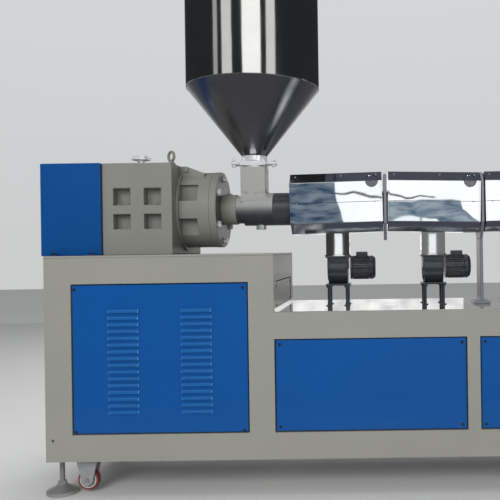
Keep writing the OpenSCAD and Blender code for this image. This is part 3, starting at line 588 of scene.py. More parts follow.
class Workshop:
    """Makes materials once, and turns finished shapes into pieces that ride on the machine."""

    def __init__(self) -> None:
        """Starts with the shared effects and no materials."""
        self.effects = Effects()
        self.made: dict[str, bpy.types.Material] = {}
        self.pieces: list[str] = []

    def material(self, finish: Finish) -> bpy.types.Material:
        """Gives the material of a finish, made at its first use.

        Args:
            finish: The finish.

        Returns:
            Its material.
        """
        if finish.name not in self.made:
            material, board = new_material(finish.name)
            shader = board.add("BsdfPrincipled")
            board.add("OutputMaterial", {"Surface": shader.outputs[0]})
            finish.fill(board, shader, self.effects)
            self.made[finish.name] = material
        return self.made[finish.name]

    def dress(self, finish: Finish, *nodes: str) -> None:
        """Gives solids of the model, shown as they are, a finish.

        Args:
            finish: The finish.
            *nodes: The nodes' names.
        """
        for name in nodes:
            mesh = NODES[name].data
            mesh.materials.clear()
            mesh.materials.append(self.material(finish))
            for face in mesh.polygons:
                face.material_index = 0
            log.info("node %s: %s", name, finish.name)

    def piece(self, name: str, shape: "Shape", finishes: Finish | tuple[Finish, ...],
              replaces: tuple[str, ...] = (), body: str = MACHINE) -> None:
        """Makes a piece of a finished shape.

        Args:
            name: The piece's name.
            shape: Its shape, which is used up.
            finishes: Its finish, or one for each of the shape's finish numbers.
            replaces: The solids of the model that it stands for.
            body: The body that it moves with.
        """
        several = finishes if isinstance(finishes, tuple) else (finishes,)
        mesh = shape.to_mesh(name)
        for finish in several:
            mesh.materials.append(self.material(finish))
        obj = bpy.data.objects.new(name, mesh)
        bpy.context.scene.collection.objects.link(obj)
        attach(obj, body)
        if replaces:
            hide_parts(*replaces)
        self.pieces.append(name)
        log.info("piece %s: %d faces, %s", name, len(mesh.polygons), ", ".join(f.name for f in several))

    def rounded(self, name: str, node: str, finish: Finish, width: float, **limits: Setting) -> None:
        """Makes a piece of a node of the model with its edges rounded.

        Args:
            name: The piece's name.
            node: The node that it stands for.
            finish: Its finish.
            width: The rounding's width, in millimetres.
            **limits: The other limits that Shape.soften takes.
        """
        shape = Shape(node)
        shape.soften(width, **limits)
        self.piece(name, shape, finish, (node,))


# Shapes.


class Shape:
    """A mesh under construction, to which closed shapes are added, with all sizes in millimetres."""

    def __init__(self, *nodes: str) -> None:
        """Starts a mesh with the merged surfaces of nodes of the model, their flat faces made whole.

        Args:
            *nodes: The nodes that the mesh starts with, none for an empty mesh.
        """
        self.bm = bmesh.new()
        self.finish = 0
        if nodes:
            for name in nodes:
                self.bm.from_mesh(NODES[name].data)
            bmesh.ops.remove_doubles(self.bm, verts=self.bm.verts, dist=2 * NEAR)
            bmesh.ops.dissolve_limit(self.bm, angle_limit=math.radians(FLAT_DEG),
                                     use_dissolve_boundaries=False, verts=self.bm.verts,
                                     edges=self.bm.edges)
            self._place(set(), None)

    def since(self, old: set[bmesh.types.BMVert]) -> list[bmesh.types.BMVert]:
        """Lists the vertices that weren't there before."""
        return [v for v in self.bm.verts if v not in old]

    def _place(self, old: set[bmesh.types.BMVert], matrix: Matrix | None) -> None:
        """Places new vertices and gives their faces the finish number in use.

        Args:
            old: The vertices that were there before.
            matrix: Their place, or None where they are in place.
        """
        fresh = self.since(old)
        if matrix is not None:
            bmesh.ops.transform(self.bm, matrix=matrix, verts=fresh)
            if matrix.determinant() < 0:
                bmesh.ops.reverse_faces(self.bm, faces=list({f for v in fresh for f in v.link_faces}))
        for face in {f for v in fresh for f in v.link_faces}:
            face.material_index = self.finish

    def _prism(self, sides: int, radius: float, height: float) -> None:
        """Adds a prism that stands on the origin, along Z."""
        r, h = radius * MM, height * MM
        bmesh.ops.create_cone(self.bm, cap_ends=True, cap_tris=False, segments=sides, radius1=r, radius2=r,
                              depth=h, matrix=Matrix.Translation((0, 0, h / 2)))

    def bevel(self, edges: Sequence[bmesh.types.BMEdge], width: float, segments: int, profile: float = 0.5,
              clamp: bool = True) -> None:
        """Rounds edges by a width, which is cut back where it doesn't fit unless clamp is False."""
        bmesh.ops.bevel(self.bm, geom=edges, offset=width * MM, segments=segments, profile=profile,
                        affect="EDGES", material=-1, clamp_overlap=clamp)

    def block(self, start: Sequence[float], end: Sequence[float], radius: float = 0.0, segments: int = 2,
              matrix: Matrix | None = None) -> None:
        """Adds a block between two corners.

        Args:
            start: One corner.
            end: The opposite corner.
            radius: The rounding of all its edges.
            segments: The faces across that rounding.
            matrix: Its place, or None where the corners are in place.
        """
        old = set(self.bm.verts)
        low, high = Vector(map(min, start, end)), Vector(map(max, start, end))
        size = high - low
        at = Matrix.Translation((low + high) / 2 * MM) @ Matrix.Diagonal((*(size * MM), 1.0))
        bmesh.ops.create_cube(self.bm, size=1.0, matrix=at)
        if radius > 0:
            edges = [e for e in self.bm.edges if e.verts[0] not in old]
            self.bevel(edges, min(radius, min(size) * 0.49), segments)
        self._place(old, matrix)

    def rod(self, radius: float, length: float, matrix: Matrix, chamfer: float = 0.0,
            sides: int = 24) -> None:
        """Adds a rod.

        Args:
            radius: Its radius.
            length: Its length.
            matrix: Its start, with Z along it.
            chamfer: The rounding of its ends.
            sides: How many sides it has.
        """
        old = set(self.bm.verts)
        self._prism(sides, radius, length)
        if chamfer > 0:
            self.bevel([e for e in self.bm.edges if e.verts[0] not in old
                        and any(len(f.verts) == sides for f in e.link_faces)], chamfer, 2)
        self._place(old, matrix)

    def turned(self, profile: Sequence[Pair], matrix: Matrix, steps: int = 48,
               closed: bool = False) -> None:
        """Adds a turned shape.

        Args:
            profile: Its outline as radius and height, from the bottom to the top.
            matrix: Its place, with the axis along Z.
            steps: How many steps make the turn.
            closed: Whether the outline joins up with itself, as a ring's does.
        """
        old = set(self.bm.verts)
        line = [self.bm.verts.new((r * MM, 0.0, h * MM)) for r, h in profile]
        pairs = list(zip(line, line[1:])) + ([(line[-1], line[0])] if closed else [])
        edges = [self.bm.edges.new(pair) for pair in pairs]
        bmesh.ops.spin(self.bm, geom=line + edges, axis=(0, 0, 1), cent=(0, 0, 0), angle=math.radians(360.0),
                       steps=steps, use_merge=True, use_duplicate=False)
        bmesh.ops.remove_doubles(self.bm, verts=self.since(old), dist=NEAR)
        self._place(old, matrix)

    def ring(self, radius: float, wire: float, matrix: Matrix, steps: int, sides: int) -> None:
        """Adds a round bead or hoop of a wire radius round the matrix's Z axis."""
        outline = [(radius + wire * math.cos(a), wire * math.sin(a))
                   for a in (2 * math.pi * i / sides for i in range(sides))]
        self.turned(outline, matrix, steps, closed=True)

    def helix(self, low: float, high: float, thick: float, pitch: float, turns: float,
              matrix: Matrix) -> None:
        """Adds a flight that winds round an axis.

        Args:
            low: The inner radius.
            high: The outer radius.
            thick: The flight's thickness.
            pitch: How far a turn rises.
            turns: How many turns it has.
            matrix: Its place, with the axis along Z.
        """
        old, steps = set(self.bm.verts), 24
        corners = ((low, 0.0), (high, 0.0), (high, thick), (low, thick))
        face = self.bm.faces.new([self.bm.verts.new((r * MM, 0.0, h * MM)) for r, h in corners])
        bmesh.ops.spin(self.bm, geom=[face, *face.edges, *face.verts], axis=(0, 0, 1), cent=(0, 0, 0),
                       dvec=(0, 0, pitch * MM / steps), angle=math.radians(360.0 * turns),
                       steps=round(turns * steps), use_merge=False, use_duplicate=False)
        self._place(old, matrix)

    def hexagon(self, across: float, height: float, matrix: Matrix) -> None:
        """Adds a hexagon head or nut with its corners turned down.

        Args:
            across: Its size across the flats.
            height: Its height.
            matrix: The place of its seat, with Z pointing out of it.
        """
        old = set(self.bm.verts)
        self._prism(6, across / math.sqrt(3), height)
        tops = [f for f in self.bm.faces if f.verts[0] not in old and len(f.verts) == 6 and f.normal.z > 0.9]
        self.bevel([e for f in tops for e in f.edges], across * 0.07, 2, 0.6, clamp=False)
        self._place(old, matrix)

    def bolt(self, size: float, matrix: Matrix, washer: bool = True, stub: float = 0.0) -> None:
        """Adds a hexagon bolt head on its washer, or a nut with the stub of its stud.

        Args:
            size: The thread's diameter.
            matrix: The place of its seat, with Z pointing out of it.
            washer: Whether it has a washer.
            stub: How far the stud stands out of it, 0 for a bolt head.
        """
        washer_r, washer_h, across, head_h, stud_r = (size * part for part in (1.02, 0.15, 1.55, 0.65, 0.48))
        lift = washer_h if washer else 0.0
        if washer:
            self.rod(washer_r, washer_h, matrix, washer_h * 0.25)
        self.hexagon(across, head_h, matrix @ shift(z=lift))
        if stub > 0:
            self.rod(stud_r, stub, matrix @ shift(z=lift + size * 0.6), size * 0.08, 16)

    def screw_head(self, radius: float, height: float, matrix: Matrix) -> None:
        """Adds a domed screw head with a socket."""
        socket, floor = radius * 0.5, height * 0.4
        self.turned([(0, floor), (socket, floor), (socket, height), (radius * 0.8, height * 0.9),
                     (radius, height * 0.35), (radius, -0.2)], matrix, steps=18)

    def soften(self, width: float, segments: int = 2, least: float = 30.0, most: float = 180.0,
               length: float = 0.0, keep: Callable[[bmesh.types.BMEdge], bool] | None = None) -> None:
        """Rounds the edges that turn by an angle between two limits.

        Args:
            width: The rounding's width.
            segments: The faces across it.
            least: The smallest turn that is rounded, in degrees.
            most: The largest turn.
            length: The shortest edge that is rounded.
            keep: A test that an edge has to pass as well.
        """
        low, high = math.radians(least), math.radians(most)
        edges = [e for e in self.bm.edges if len(e.link_faces) == 2 and low < e.calc_face_angle(0.0) < high
                 and e.calc_length() >= length * MM and (keep is None or keep(e))]
        if edges:
            self.bevel(edges, width, segments)

    def fix_normals(self) -> None:
        """Points all faces outwards."""
        bmesh.ops.recalc_face_normals(self.bm, faces=self.bm.faces)

    def drain(self, name: str) -> bpy.types.Mesh:
        """Ends the construction and gives the bare mesh.

        Args:
            name: The mesh's name.

        Returns:
            The mesh.
        """
        mesh = bpy.data.meshes.new(name)
        self.bm.to_mesh(mesh)
        self.bm.free()
        return mesh

    def to_mesh(self, name: str) -> bpy.types.Mesh:
        """Ends the construction and gives the mesh as it is shown.

        Args:
            name: The mesh's name.

        Returns:
            The mesh, smooth but for its sharp edges.
        """
        self.fix_normals()
        mesh = self.drain(name)
        mesh.shade_smooth()
        mesh.set_sharp_from_angle(angle=math.radians(SHARP_DEG))
        weight_normals(mesh)
        return mesh

    def solid_boxes(self) -> list[Box]:
        """Finds the box of each separate solid in the mesh.

        Returns:
            The boxes, in order along X.
        """
        left, boxes = set(self.bm.verts), []
        while left:
            reach, island = [left.pop()], []
            while reach:
                vert = reach.pop()
                island.append(vert.co)
                near = [e.other_vert(vert) for e in vert.link_edges]
                fresh = [v for v in near if v in left]
                left.difference_update(fresh)
                reach.extend(fresh)
            boxes.append(Box(tuple(map(min, zip(*island))), tuple(map(max, zip(*island)))))
        return sorted(boxes, key=lambda box: tuple(box.low))


def weight_normals(mesh: bpy.types.Mesh) -> None:
    """Weights corner normals by face area, so that only the rounded edges turn between flat faces.

    Args:
        mesh: The mesh, with its sharp edges marked.
    """
    def values(items: bpy.types.bpy_prop_collection, name: str, kind: type = np.int64,
               width: int = 1) -> np.ndarray:
        """Reads one property of every item.

        Args:
            items: The items.
            name: The property.
            kind: Its type.
            width: How many numbers each item has.

        Returns:
            The values.
        """
        flat = np.empty(len(items) * width, dtype=kind)
        items.foreach_get(name, flat)
        return flat.reshape(-1, width) if width > 1 else flat

    corners = len(mesh.loops)
    start, total = values(mesh.polygons, "loop_start"), values(mesh.polygons, "loop_total")
    face = np.repeat(np.arange(len(total)), total)
    after = np.arange(corners) + 1
    after[start + total - 1] = start
    vertex, edge = values(mesh.loops, "vertex_index"), values(mesh.loops, "edge_index")
    sharp = values(mesh.edges, "use_edge_sharp", bool)
    order = np.argsort(edge, kind="stable")
    paired = np.bincount(edge, minlength=len(sharp)) == 2
    a, b = order[paired[edge[order]] & ~sharp[edge[order]]].reshape(-1, 2).T
    facing_back = vertex[a] != vertex[b]
    links = np.concatenate([np.stack([a, np.where(facing_back, after[b], b)], 1),
                            np.stack([after[a], np.where(facing_back, b, after[b])], 1)])
    label, before = np.arange(corners), None
    while before is None or not np.array_equal(label, before):
        before = label.copy()
        least = np.minimum(label[links[:, 0]], label[links[:, 1]])
        np.minimum.at(label, links[:, 0], least)
        np.minimum.at(label, links[:, 1], least)
        label = label[label]
    areas = values(mesh.polygons, "area", np.float64)
    weighted = values(mesh.polygons, "normal", np.float64, 3) * areas[:, None]
    sums = np.zeros((corners, 3))
    np.add.at(sums, label, weighted[face])
    normals = sums[label]
    length = np.linalg.norm(normals, axis=1, keepdims=True)
    mesh.normals_split_custom_set(normals / np.where(length > 0, length, 1.0))


def combined(first: Shape, others: Sequence[Shape], operation: str) -> Shape:
    """Joins shapes by an exact boolean.

    Args:
        first: The shape that the others are added to or cut from.
        others: Those others, which are used up.
        operation: UNION or DIFFERENCE.

    Returns:
        The joined shape.
    """
    def scratch(shape: Shape, name: str) -> bpy.types.Object:
        """Makes a helper object of a shape."""
        shape.fix_normals()
        return bpy.data.objects.new(name, shape.drain(name))

    body = scratch(first, "joined")
    bpy.context.scene.collection.objects.link(body)
    tools = bpy.data.collections.new("tools")
    bpy.context.scene.collection.children.link(tools)
    for shape in others:
        tools.objects.link(scratch(shape, "tool"))
    cut = body.modifiers.new("cut", "BOOLEAN")
    cut.operation, cut.solver, cut.operand_type, cut.collection = operation, "EXACT", "COLLECTION", tools
    bpy.context.view_layer.update()
    done = Shape()
    done.bm.from_object(body, bpy.context.evaluated_depsgraph_get())
    for obj in [body, *tools.objects]:
        bpy.data.objects.remove(obj)
    bpy.data.collections.remove(tools)
    return done


def islands(node: str) -> list[Box]:
    """Finds the box of each separate solid of a node of the model.

    Args:
        node: The node's name.

    Returns:
        The boxes, in order along X.
    """
    shape = Shape(node)
    boxes = shape.solid_boxes()
    shape.bm.free()
    return boxes


def both_sides(matrix: Matrix) -> tuple[Matrix, Matrix]:
    """Gives a place on the front of the machine and its mirror image on the back."""
    return matrix, Matrix.Diagonal((1.0, -1.0, 1.0, 1.0)) @ matrix


def both_ends(profile: Sequence[Pair]) -> list[Pair]:
    """Gives a profile's lower half and its mirror image above it."""
    return [*profile, *((r, -h) for r, h in reversed(profile))]


# The base frame.


@dataclass
class BaseFrame:
    """The welded base: enamelled box section, blue panels, the drive's plate and the drip tray."""

    shop: Workshop
    weld: float = 5.0
    corner: float = 5.0
    fold: float = 3.0
    sheet: float = 2.0
    screw_r: float = 5.4
    screws_in: tuple[float, float, float, float] = (14.0, 14.0, 15.0, 15.0)
    louvre_screws_in: tuple[float, float, float, float] = (8.0, 14.0, 6.0, 15.0)
    louvre: Triple = (104.0, 7.0, 12.5)
    brow_r: float = 5.6
    cheek_r: float = 3.2
    pressed_sheet: float = 1.2
    slot_h: float = 9.5
    louvre_pitch: float = 23.2
    louvre_rows: int = 16
    louvre_columns: float = 252.0
    louvre_raise: float = -14.5
    plug: Triple = (24.8, 198.0, 4.5)

    def build(self) -> None:
        """Builds the base's pieces."""
        self.skin()
        self.louvred_panels()
        self.plain_panels()
        self.shop.rounded("drive_plate", "cabinet_top_plate", FRAME_ENAMEL, 2.0)
        self.shop.rounded("tray_sheet", "drip_tray", TRAY_STEEL, 0.7)
        self.shop.dress(DARK_ENAMEL, "panel_strips")

    def skin(self) -> None:
        """Welds the posts and rails into one skin and rounds its edges."""
        along, across, upright = (Vector(way.value) * self.weld for way in (Axis.RIGHT, Axis.BACK, Axis.UP))
        reaches = {"tall_posts": Vector(), "bed_posts": upright, "bottom_rails": along,
                   "cabinet_top_rails": along, "bed_top_rails": along, "cross_rails": across}
        widest_bed_post = 60.0
        blocks = []
        for name, reach in reaches.items():
            for box in islands(name):
                tall_end = name == "bed_posts" and box.size.x > widest_bed_post
                grow = Vector() if tall_end else reach
                blocks.append(Shape())
                blocks[-1].block(box.low - grow, box.high + grow)
        skin = combined(blocks[0], blocks[1:], "UNION")
        bmesh.ops.remove_doubles(skin.bm, verts=skin.bm.verts, dist=10 * NEAR)
        bmesh.ops.dissolve_limit(skin.bm, angle_limit=math.radians(0.5), verts=skin.bm.verts,
                                 edges=skin.bm.edges)
        skin.soften(self.corner, segments=3)
        self.shop.piece("base_frame_skin", skin, FRAME_ENAMEL, tuple(reaches))
        low = Box(*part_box("tall_posts")).low
        in_x, z, r = self.plug
        plugs = Shape()
        for place in both_sides(facing((low.x + in_x, low.y, z), Axis.FRONT)):
            plugs.turned([(0, 0.6), (r * 0.7, 0.6), (r, 0.2), (r, -0.2)], place, steps=20)
        self.shop.piece("post_plugs", plugs, OILED_STEEL)

    def pan(self, low: Vector, high: Vector) -> Shape:
        """Folds a pan of sheet that fills a box and faces the front.

        Args:
            low: The box's lowest corner.
            high: Its highest corner.

        Returns:
            The pan.
        """
        shape = Shape()
        shape.block(low, high)
        back = [f for f in shape.bm.faces if f.calc_center_median().y > high.y * MM - 10 * NEAR]
        bmesh.ops.delete(shape.bm, geom=back, context="FACES_ONLY")
        shape.fix_normals()
        shape.bevel([e for e in shape.bm.edges if not e.is_boundary], self.fold, 3, clamp=False)
        bmesh.ops.solidify(shape.bm, geom=list(shape.bm.faces), thickness=self.sheet * MM)
        return shape

    def corner_screws(self, shape: Shape, low: Vector, high: Vector, insets: Sequence[float]) -> None:
        """Adds a dark screw near each corner of a panel that faces the front.

        Args:
            shape: The panel.
            low: Its lowest corner.
            high: Its highest corner.
            insets: The screws' distances from its left, right, lower and upper edge.
        """
        shape.finish = 1
        left, right, below, above = insets
        for x, z in product((low.x + left, high.x - right), (low.z + below, high.z - above)):
            shape.screw_head(self.screw_r, 1.6, facing((x, low.y, z), Axis.FRONT))
        shape.finish = 0

    def hood(self) -> bpy.types.Mesh:
        """Presses one louvre, open below and behind.

        Returns:
            The louvre, with its slot's lower edge at the origin.
        """
        wide, out, tall = self.louvre
        shape = Shape()
        shape.block((-wide / 2, -out, 0), (wide / 2, 1, tall))
        side, front, top = wide / 2 * MM, -out * MM, tall * MM
        brow = [e for e in shape.bm.edges if all(v.co.y < front + NEAR and v.co.z > top - NEAR
                                                 for v in e.verts)]
        shape.bevel(brow, self.brow_r, 4, clamp=False)
        cheeks = [e for e in shape.bm.edges if all(abs(abs(v.co.x) - side) < NEAR for v in e.verts)
                  and not all(v.co.y > 0 for v in e.verts) and not all(v.co.z < NEAR for v in e.verts)]
        shape.bevel(cheeks, self.cheek_r, 2)
        shape.fix_normals()
        open_faces = [f for f in shape.bm.faces if f.normal.z < -0.95 or f.normal.y > 0.95]
        bmesh.ops.delete(shape.bm, geom=open_faces, context="FACES_ONLY")
        bmesh.ops.solidify(shape.bm, geom=list(shape.bm.faces), thickness=self.pressed_sheet * MM)
        shape.fix_normals()
        # Faces turned to the sides take the end enamel and the rest the louvre enamel, both painted
        # highlight.
        for face in shape.bm.faces:
            face.material_index = 3 if abs(face.normal.x) > 0.35 else 2
        return shape.drain("louvre")

    def louvred_panels(self) -> None:
        """Builds the cabinet's panel with two columns of louvres, and its twin on the back."""
        box = Box(*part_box("louvre_panel_front"))
        half, slot_in = self.louvre[0] / 2, 2.0
        low = box.low + Vector((0, self.louvre[1], 0))
        columns = [box.mid.x + side * self.louvre_columns / 2 for side in (-1, 1)]
        start_z = box.mid.z + self.louvre_raise - (self.louvre_rows - 1) / 2 * self.louvre_pitch
        places = [shift(x, low.y, start_z + row * self.louvre_pitch) for x in columns
                  for row in range(self.louvre_rows)]
        slots = Shape()
        for place in places:
            slots.block((slot_in - half, -2, 0), (half - slot_in, 4, self.slot_h), matrix=place)
        panel = combined(self.pan(low, box.high), [slots], "DIFFERENCE")
        hood = self.hood()
        for place in places:
            old = set(panel.bm.verts)
            panel.bm.from_mesh(hood)
            bmesh.ops.transform(panel.bm, matrix=place, verts=panel.since(old))
        bpy.data.meshes.remove(hood)
        self.corner_screws(panel, low, box.high, self.louvre_screws_in)
        self.mirrored_pair("louvred_panel", panel, ("louvre_panel_front", "louvre_panel_back"),
                           (HOOD_LIT_ENAMEL, HOOD_END_LIT_ENAMEL))

    def mirrored_pair(self, name: str, shape: Shape, nodes: tuple[str, str],
                      more: tuple[Enamel, ...] = ()) -> None:
        """Makes a piece of a front panel and one of its mirror image on the back.

        Args:
            name: The start of the pieces' names.
            shape: The front panel.
            nodes: The nodes that the front and the back piece stand for.
            more: The finishes after the panel's and the screws'.
        """
        twin = Shape()
        twin.bm.free()
        twin.bm = shape.bm.copy()
        bmesh.ops.scale(twin.bm, vec=(1, -1, 1), verts=twin.bm.verts)
        bmesh.ops.reverse_faces(twin.bm, faces=twin.bm.faces)
        for side, panel, node in (("front", shape, nodes[0]), ("back", twin, nodes[1])):
            self.shop.piece(f"{name}_{side}", panel, (BLUE_ENAMEL, BLACK_STEEL, *more), (node,))

    def plain_panels(self) -> None:
        """Builds the bed's panels and the panels in the ends."""
        for number in ("1", "2"):
            box = Box(*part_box("bed_panel_front_" + number))
            shape = self.pan(box.low, box.high)
            self.corner_screws(shape, box.low, box.high, self.screws_in)
            nodes = ("bed_panel_front_" + number, "bed_panel_back_" + number)
            self.mirrored_pair("bed_panel_" + number, shape, nodes)
        ends = (("cabinet_end_panel", -90, BLUE_ENAMEL), ("bed_end_panel", 90, BLUE_ENAMEL),
                ("step_panel", 90, FRAME_ENAMEL))
        for node, degrees, finish in ends:
            box = Box(*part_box(node))
            low = Vector((-box.high.y, -box.size.x / 2, box.low.z))
            high = Vector((box.high.y, box.size.x / 2, box.high.z))
            shape = self.pan(low, high)
            self.corner_screws(shape, low, high, self.screws_in)
            bmesh.ops.transform(shape.bm, matrix=shift(box.mid.x) @ turn(degrees), verts=shape.bm.verts)
            self.shop.piece(node + "_sheet", shape, (finish, BLACK_STEEL), (node,))


# Feet and castors.


@dataclass
class Footing:
    """The levelling feet and the castors beside them."""

    shop: Workshop
    rod_r: float = 9.0
    pitch: float = 2.5
    thread: float = 1.1
    nut: float = 27.0
    fork_plate: float = 3.0
    fork_bolts: Pair = (38.0, 20.0)
    tyre: float = 8.0

    def build(self) -> None:
        """Builds the feet, forks, axles and wheels."""
        self.feet()
        self.castors()
        for number in range(1, 5):
            self.wheel(number)

    def feet(self) -> None:
        """Builds the pads, their threaded rods and their nuts."""
        pads, rods = Shape(), Shape()
        frame_z, root = Box(*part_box("foot_screws")).high.z, self.rod_r - self.thread
        for box in islands("foot_pads"):
            x, y = box.mid.xy
            r, top, foot = box.size.x / 2, box.high.z, facing((x, y, 0), Axis.UP)
            pads.turned([(0, 0), (r - 2, 0), (r, 2), (r, 11), (r - 2.5, 13.5), (r * 0.62, 20),
                         (r * 0.40, top - 2), (r * 0.34, top), (0, top)], foot, steps=56)
            outline = [(0, top)]
            for i in range(int((frame_z - top) / self.pitch)):
                outline += [(root, top + i * self.pitch), (self.rod_r, top + (i + 0.5) * self.pitch)]
            rods.turned([*outline, (root, frame_z), (0, frame_z)], foot, steps=20)
            rods.hexagon(self.nut, 14, facing((x, y, top), Axis.UP, 12))
            rods.rod(16, 3, facing((x, y, frame_z - 3), Axis.UP), 0.5, 32)
            rods.hexagon(self.nut, 11, facing((x, y, frame_z - 3), Axis.DOWN, 20))
        self.shop.piece("foot_pad_castings", pads, MACHINED_STEEL, ("foot_pads",))
        self.shop.piece("foot_rods_and_nuts", rods, BOLT_STEEL, ("foot_screws",))

    def castors(self) -> None:
        """Rounds the forks and adds their bearings, plate bolts and axle bolts."""
        forks, bolts = Shape("castor_forks"), Shape()
        forks.soften(1.0)
        bolt_x, bolt_y = self.fork_bolts
        for box in islands("castor_forks"):
            x, y, under = box.mid.x, box.mid.y, box.high.z - self.fork_plate
            forks.turned([(0, 0), (30, 0), (33, 2), (33, 5), (28, 8), (28, 10), (0, 10)],
                         facing((x, y, under), Axis.DOWN), steps=40)
            for dx, dy in product((-bolt_x, bolt_x), (-bolt_y, bolt_y)):
                bolts.bolt(8, facing((x + dx, y + dy, under), Axis.DOWN))
        for box in islands("castor_axles"):
            x, z = box.mid.x, box.mid.z
            bolts.rod(5, box.size.y - 8, facing((x, box.low.y + 4, z), Axis.BACK), sides=20)
            bolts.hexagon(15, 5, facing((x, box.low.y + 5, z), Axis.FRONT, 17))
            bolts.hexagon(15, 5, facing((x, box.high.y - 5, z), Axis.BACK, 41))
        self.shop.piece("castor_fork_pressings", forks, ZINC, ("castor_forks",))
        self.shop.piece("castor_axles_and_bolts", bolts, BOLT_STEEL, ("castor_axles",))

    def wheel(self, number: int) -> None:
        """Builds a castor's wheel: a ribbed nylon core in a red tyre.

        Args:
            number: The castor's number.
        """
        body = f"castor_wheel_{number}"
        box = Box(*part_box(f"wheel_tyre_{number}"))
        r, half, place = box.size.z / 2, box.size.y / 2, facing(box.mid, Axis.FRONT)
        rim, bore = r - self.tyre, 5.05
        core = Shape()
        core.turned(both_ends([(bore, -18), (11, -18), (12, -5), (rim - 6, -4), (rim - 4, -half),
                               (rim, -half)]), place, closed=True)
        for i in range(6):
            core.block((10, -1.5, -10), (rim - 3, 1.5, 10), 0.8, 1, place @ turn(60 * i))
        self.shop.piece(f"castor_core_{number}", core, NYLON, (f"wheel_core_{number}",), body)
        tyre = Shape()
        tyre.turned(both_ends([(rim, -half), (r - 4, -half), (r - 1.5, 1.2 - half), (r - 0.3, 4 - half),
                               (r, -2)]), place, steps=64, closed=True)
        self.shop.piece(f"castor_tyre_{number}", tyre, RED_TYRE, (f"wheel_tyre_{number}",), body)


# The drive.


@dataclass
class Drive:
    """The belt guard, the gearbox with its fittings, and the thrust housing."""

    shop: Workshop
    tab: Triple = (34.0, 32.0, 3.0)
    guard_bolts: Pair = (53.0, 26.0)
    guard_screws: Pair = (24.0, 40.0)
    pocket_bolts: tuple[float, ...] = (-72.5, -36.5, 38.5, 60.5)
    pocket_ledge: float = 150.0
    thrust_bolts: Pair = (30.0, 68.0)
    thrust_ledge: float = 27.0
    ribs: int = 36
    eye_turn: float = 40.0

    def build(self) -> None:
        """Builds the drive's pieces."""
        self.guard()
        self.gearbox()
        self.breather()
        self.eye()
        self.thrust()

    def guard(self) -> None:
        """Builds the belt guard: a box, the bolted tabs that hold it down, and the screws on its end."""
        box, shape = Box(*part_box("belt_guard")), Shape()
        low, high = box.low, box.high
        wide, out, thick = self.tab
        bolts = (low.x + self.guard_bolts[0], high.x - self.guard_bolts[1])
        in_y, in_z = self.guard_screws
        shape.block(low, high, 4, 3)
        shape.finish = 1
        for x in bolts:
            for place in both_sides(facing((x, low.y - 18, low.z + thick), Axis.UP, 10)):
                shape.bolt(10, place)
        for z, y in product((low.z + in_z, box.mid.z, high.z - in_z), (low.y + in_y, high.y - in_y)):
            shape.screw_head(5, 2, facing((low.x, y, z), Axis.LEFT))
        shape.finish = 0
        for x, side in product(bolts, (-1, 1)):
            shape.block((x - wide / 2, side * (high.y - 2), low.z),
                        (x + wide / 2, side * (high.y + out), low.z + thick), 0.8, 1)
        # The box takes the blue enamel darkened as painted shade; the bolts and screws take the blackened
        # steel.
        self.shop.piece("belt_guard_box", shape, (GUARD_SHADED_ENAMEL, BLACK_STEEL), ("belt_guard",))

    def gearbox(self) -> None:
        """Rounds the gearbox casting and adds the bolts in its pockets."""
        box, bolts = Box(*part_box("gearbox_housing")), Shape()
        self.shop.rounded("gearbox_casting", "gearbox_housing", CAST_ENAMEL, 3.5, segments=3)
        for dx in self.pocket_bolts:
            at = (box.mid.x + dx, box.low.y + 24, box.high.z - self.pocket_ledge)
            for place in both_sides(facing(at, Axis.UP, 15)):
                bolts.bolt(8, place)
        self.shop.piece("gearbox_bolts", bolts, CAST_ENAMEL)

    def breather(self) -> None:
        """Builds the breather: a stem, a knurled cap and its crown."""
        box, shape = Box(*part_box("breather")), Shape()
        r, h = box.size.x / 2, box.size.z
        place = facing((box.mid.x, box.mid.y, box.low.z), Axis.UP)
        cap_low, cap_high = h - 15, h - 5
        shape.turned([(0, 5), (13, 5), (13, h - 20), (r - 6, h - 16), (r - 2.5, cap_low), (r - 2.5, cap_high),
                      (r - 9, h - 1), (r - 14, h), (0, h)], place, steps=40)
        shape.hexagon(30, 9, place)
        for i in range(self.ribs):
            shape.block((r - 4, -1.4, cap_low), (r - 0.3, 1.4, cap_high), 0.8, 1,
                        place @ turn(360 * i / self.ribs))
        self.shop.piece("breather_cap", shape, BRIGHT_LIT_PLATE, ("breather",))

    def eye(self) -> None:
        """Builds the lifting eye on its collar."""
        box, shape = Box(*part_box("lifting_eye")), Shape()
        x, y = box.mid.xy
        shape.turned([(0, 0), (14, 0), (14, 3), (12, 6), (8, 8), (7, 12), (0, 12)],
                     facing((x, y, box.low.z), Axis.UP), steps=32)
        hoop_r, wire_r, angle = 17, 5, math.radians(self.eye_turn)
        hoop = facing((x, y, box.high.z - hoop_r - wire_r), (-math.sin(angle), -math.cos(angle), 0.0))
        shape.ring(hoop_r, wire_r, hoop, steps=40, sides=14)
        self.shop.piece("lifting_eye_forging", shape, CAST_ENAMEL, ("lifting_eye",))

    def thrust(self) -> None:
        """Rounds the thrust housing and adds its bolts."""
        low, bolts = Box(*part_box("thrust_housing")).low, Shape()
        self.shop.rounded("thrust_casting", "thrust_housing", CAST_ENAMEL, 2.0)
        for dx in self.thrust_bolts:
            for place in both_sides(facing((low.x + dx, -110, AXIS_Z + self.thrust_ledge), Axis.UP, 11)):
                bolts.bolt(8, place)
        self.shop.piece("thrust_bolts", bolts, CAST_ENAMEL)


# Feed section and hopper.


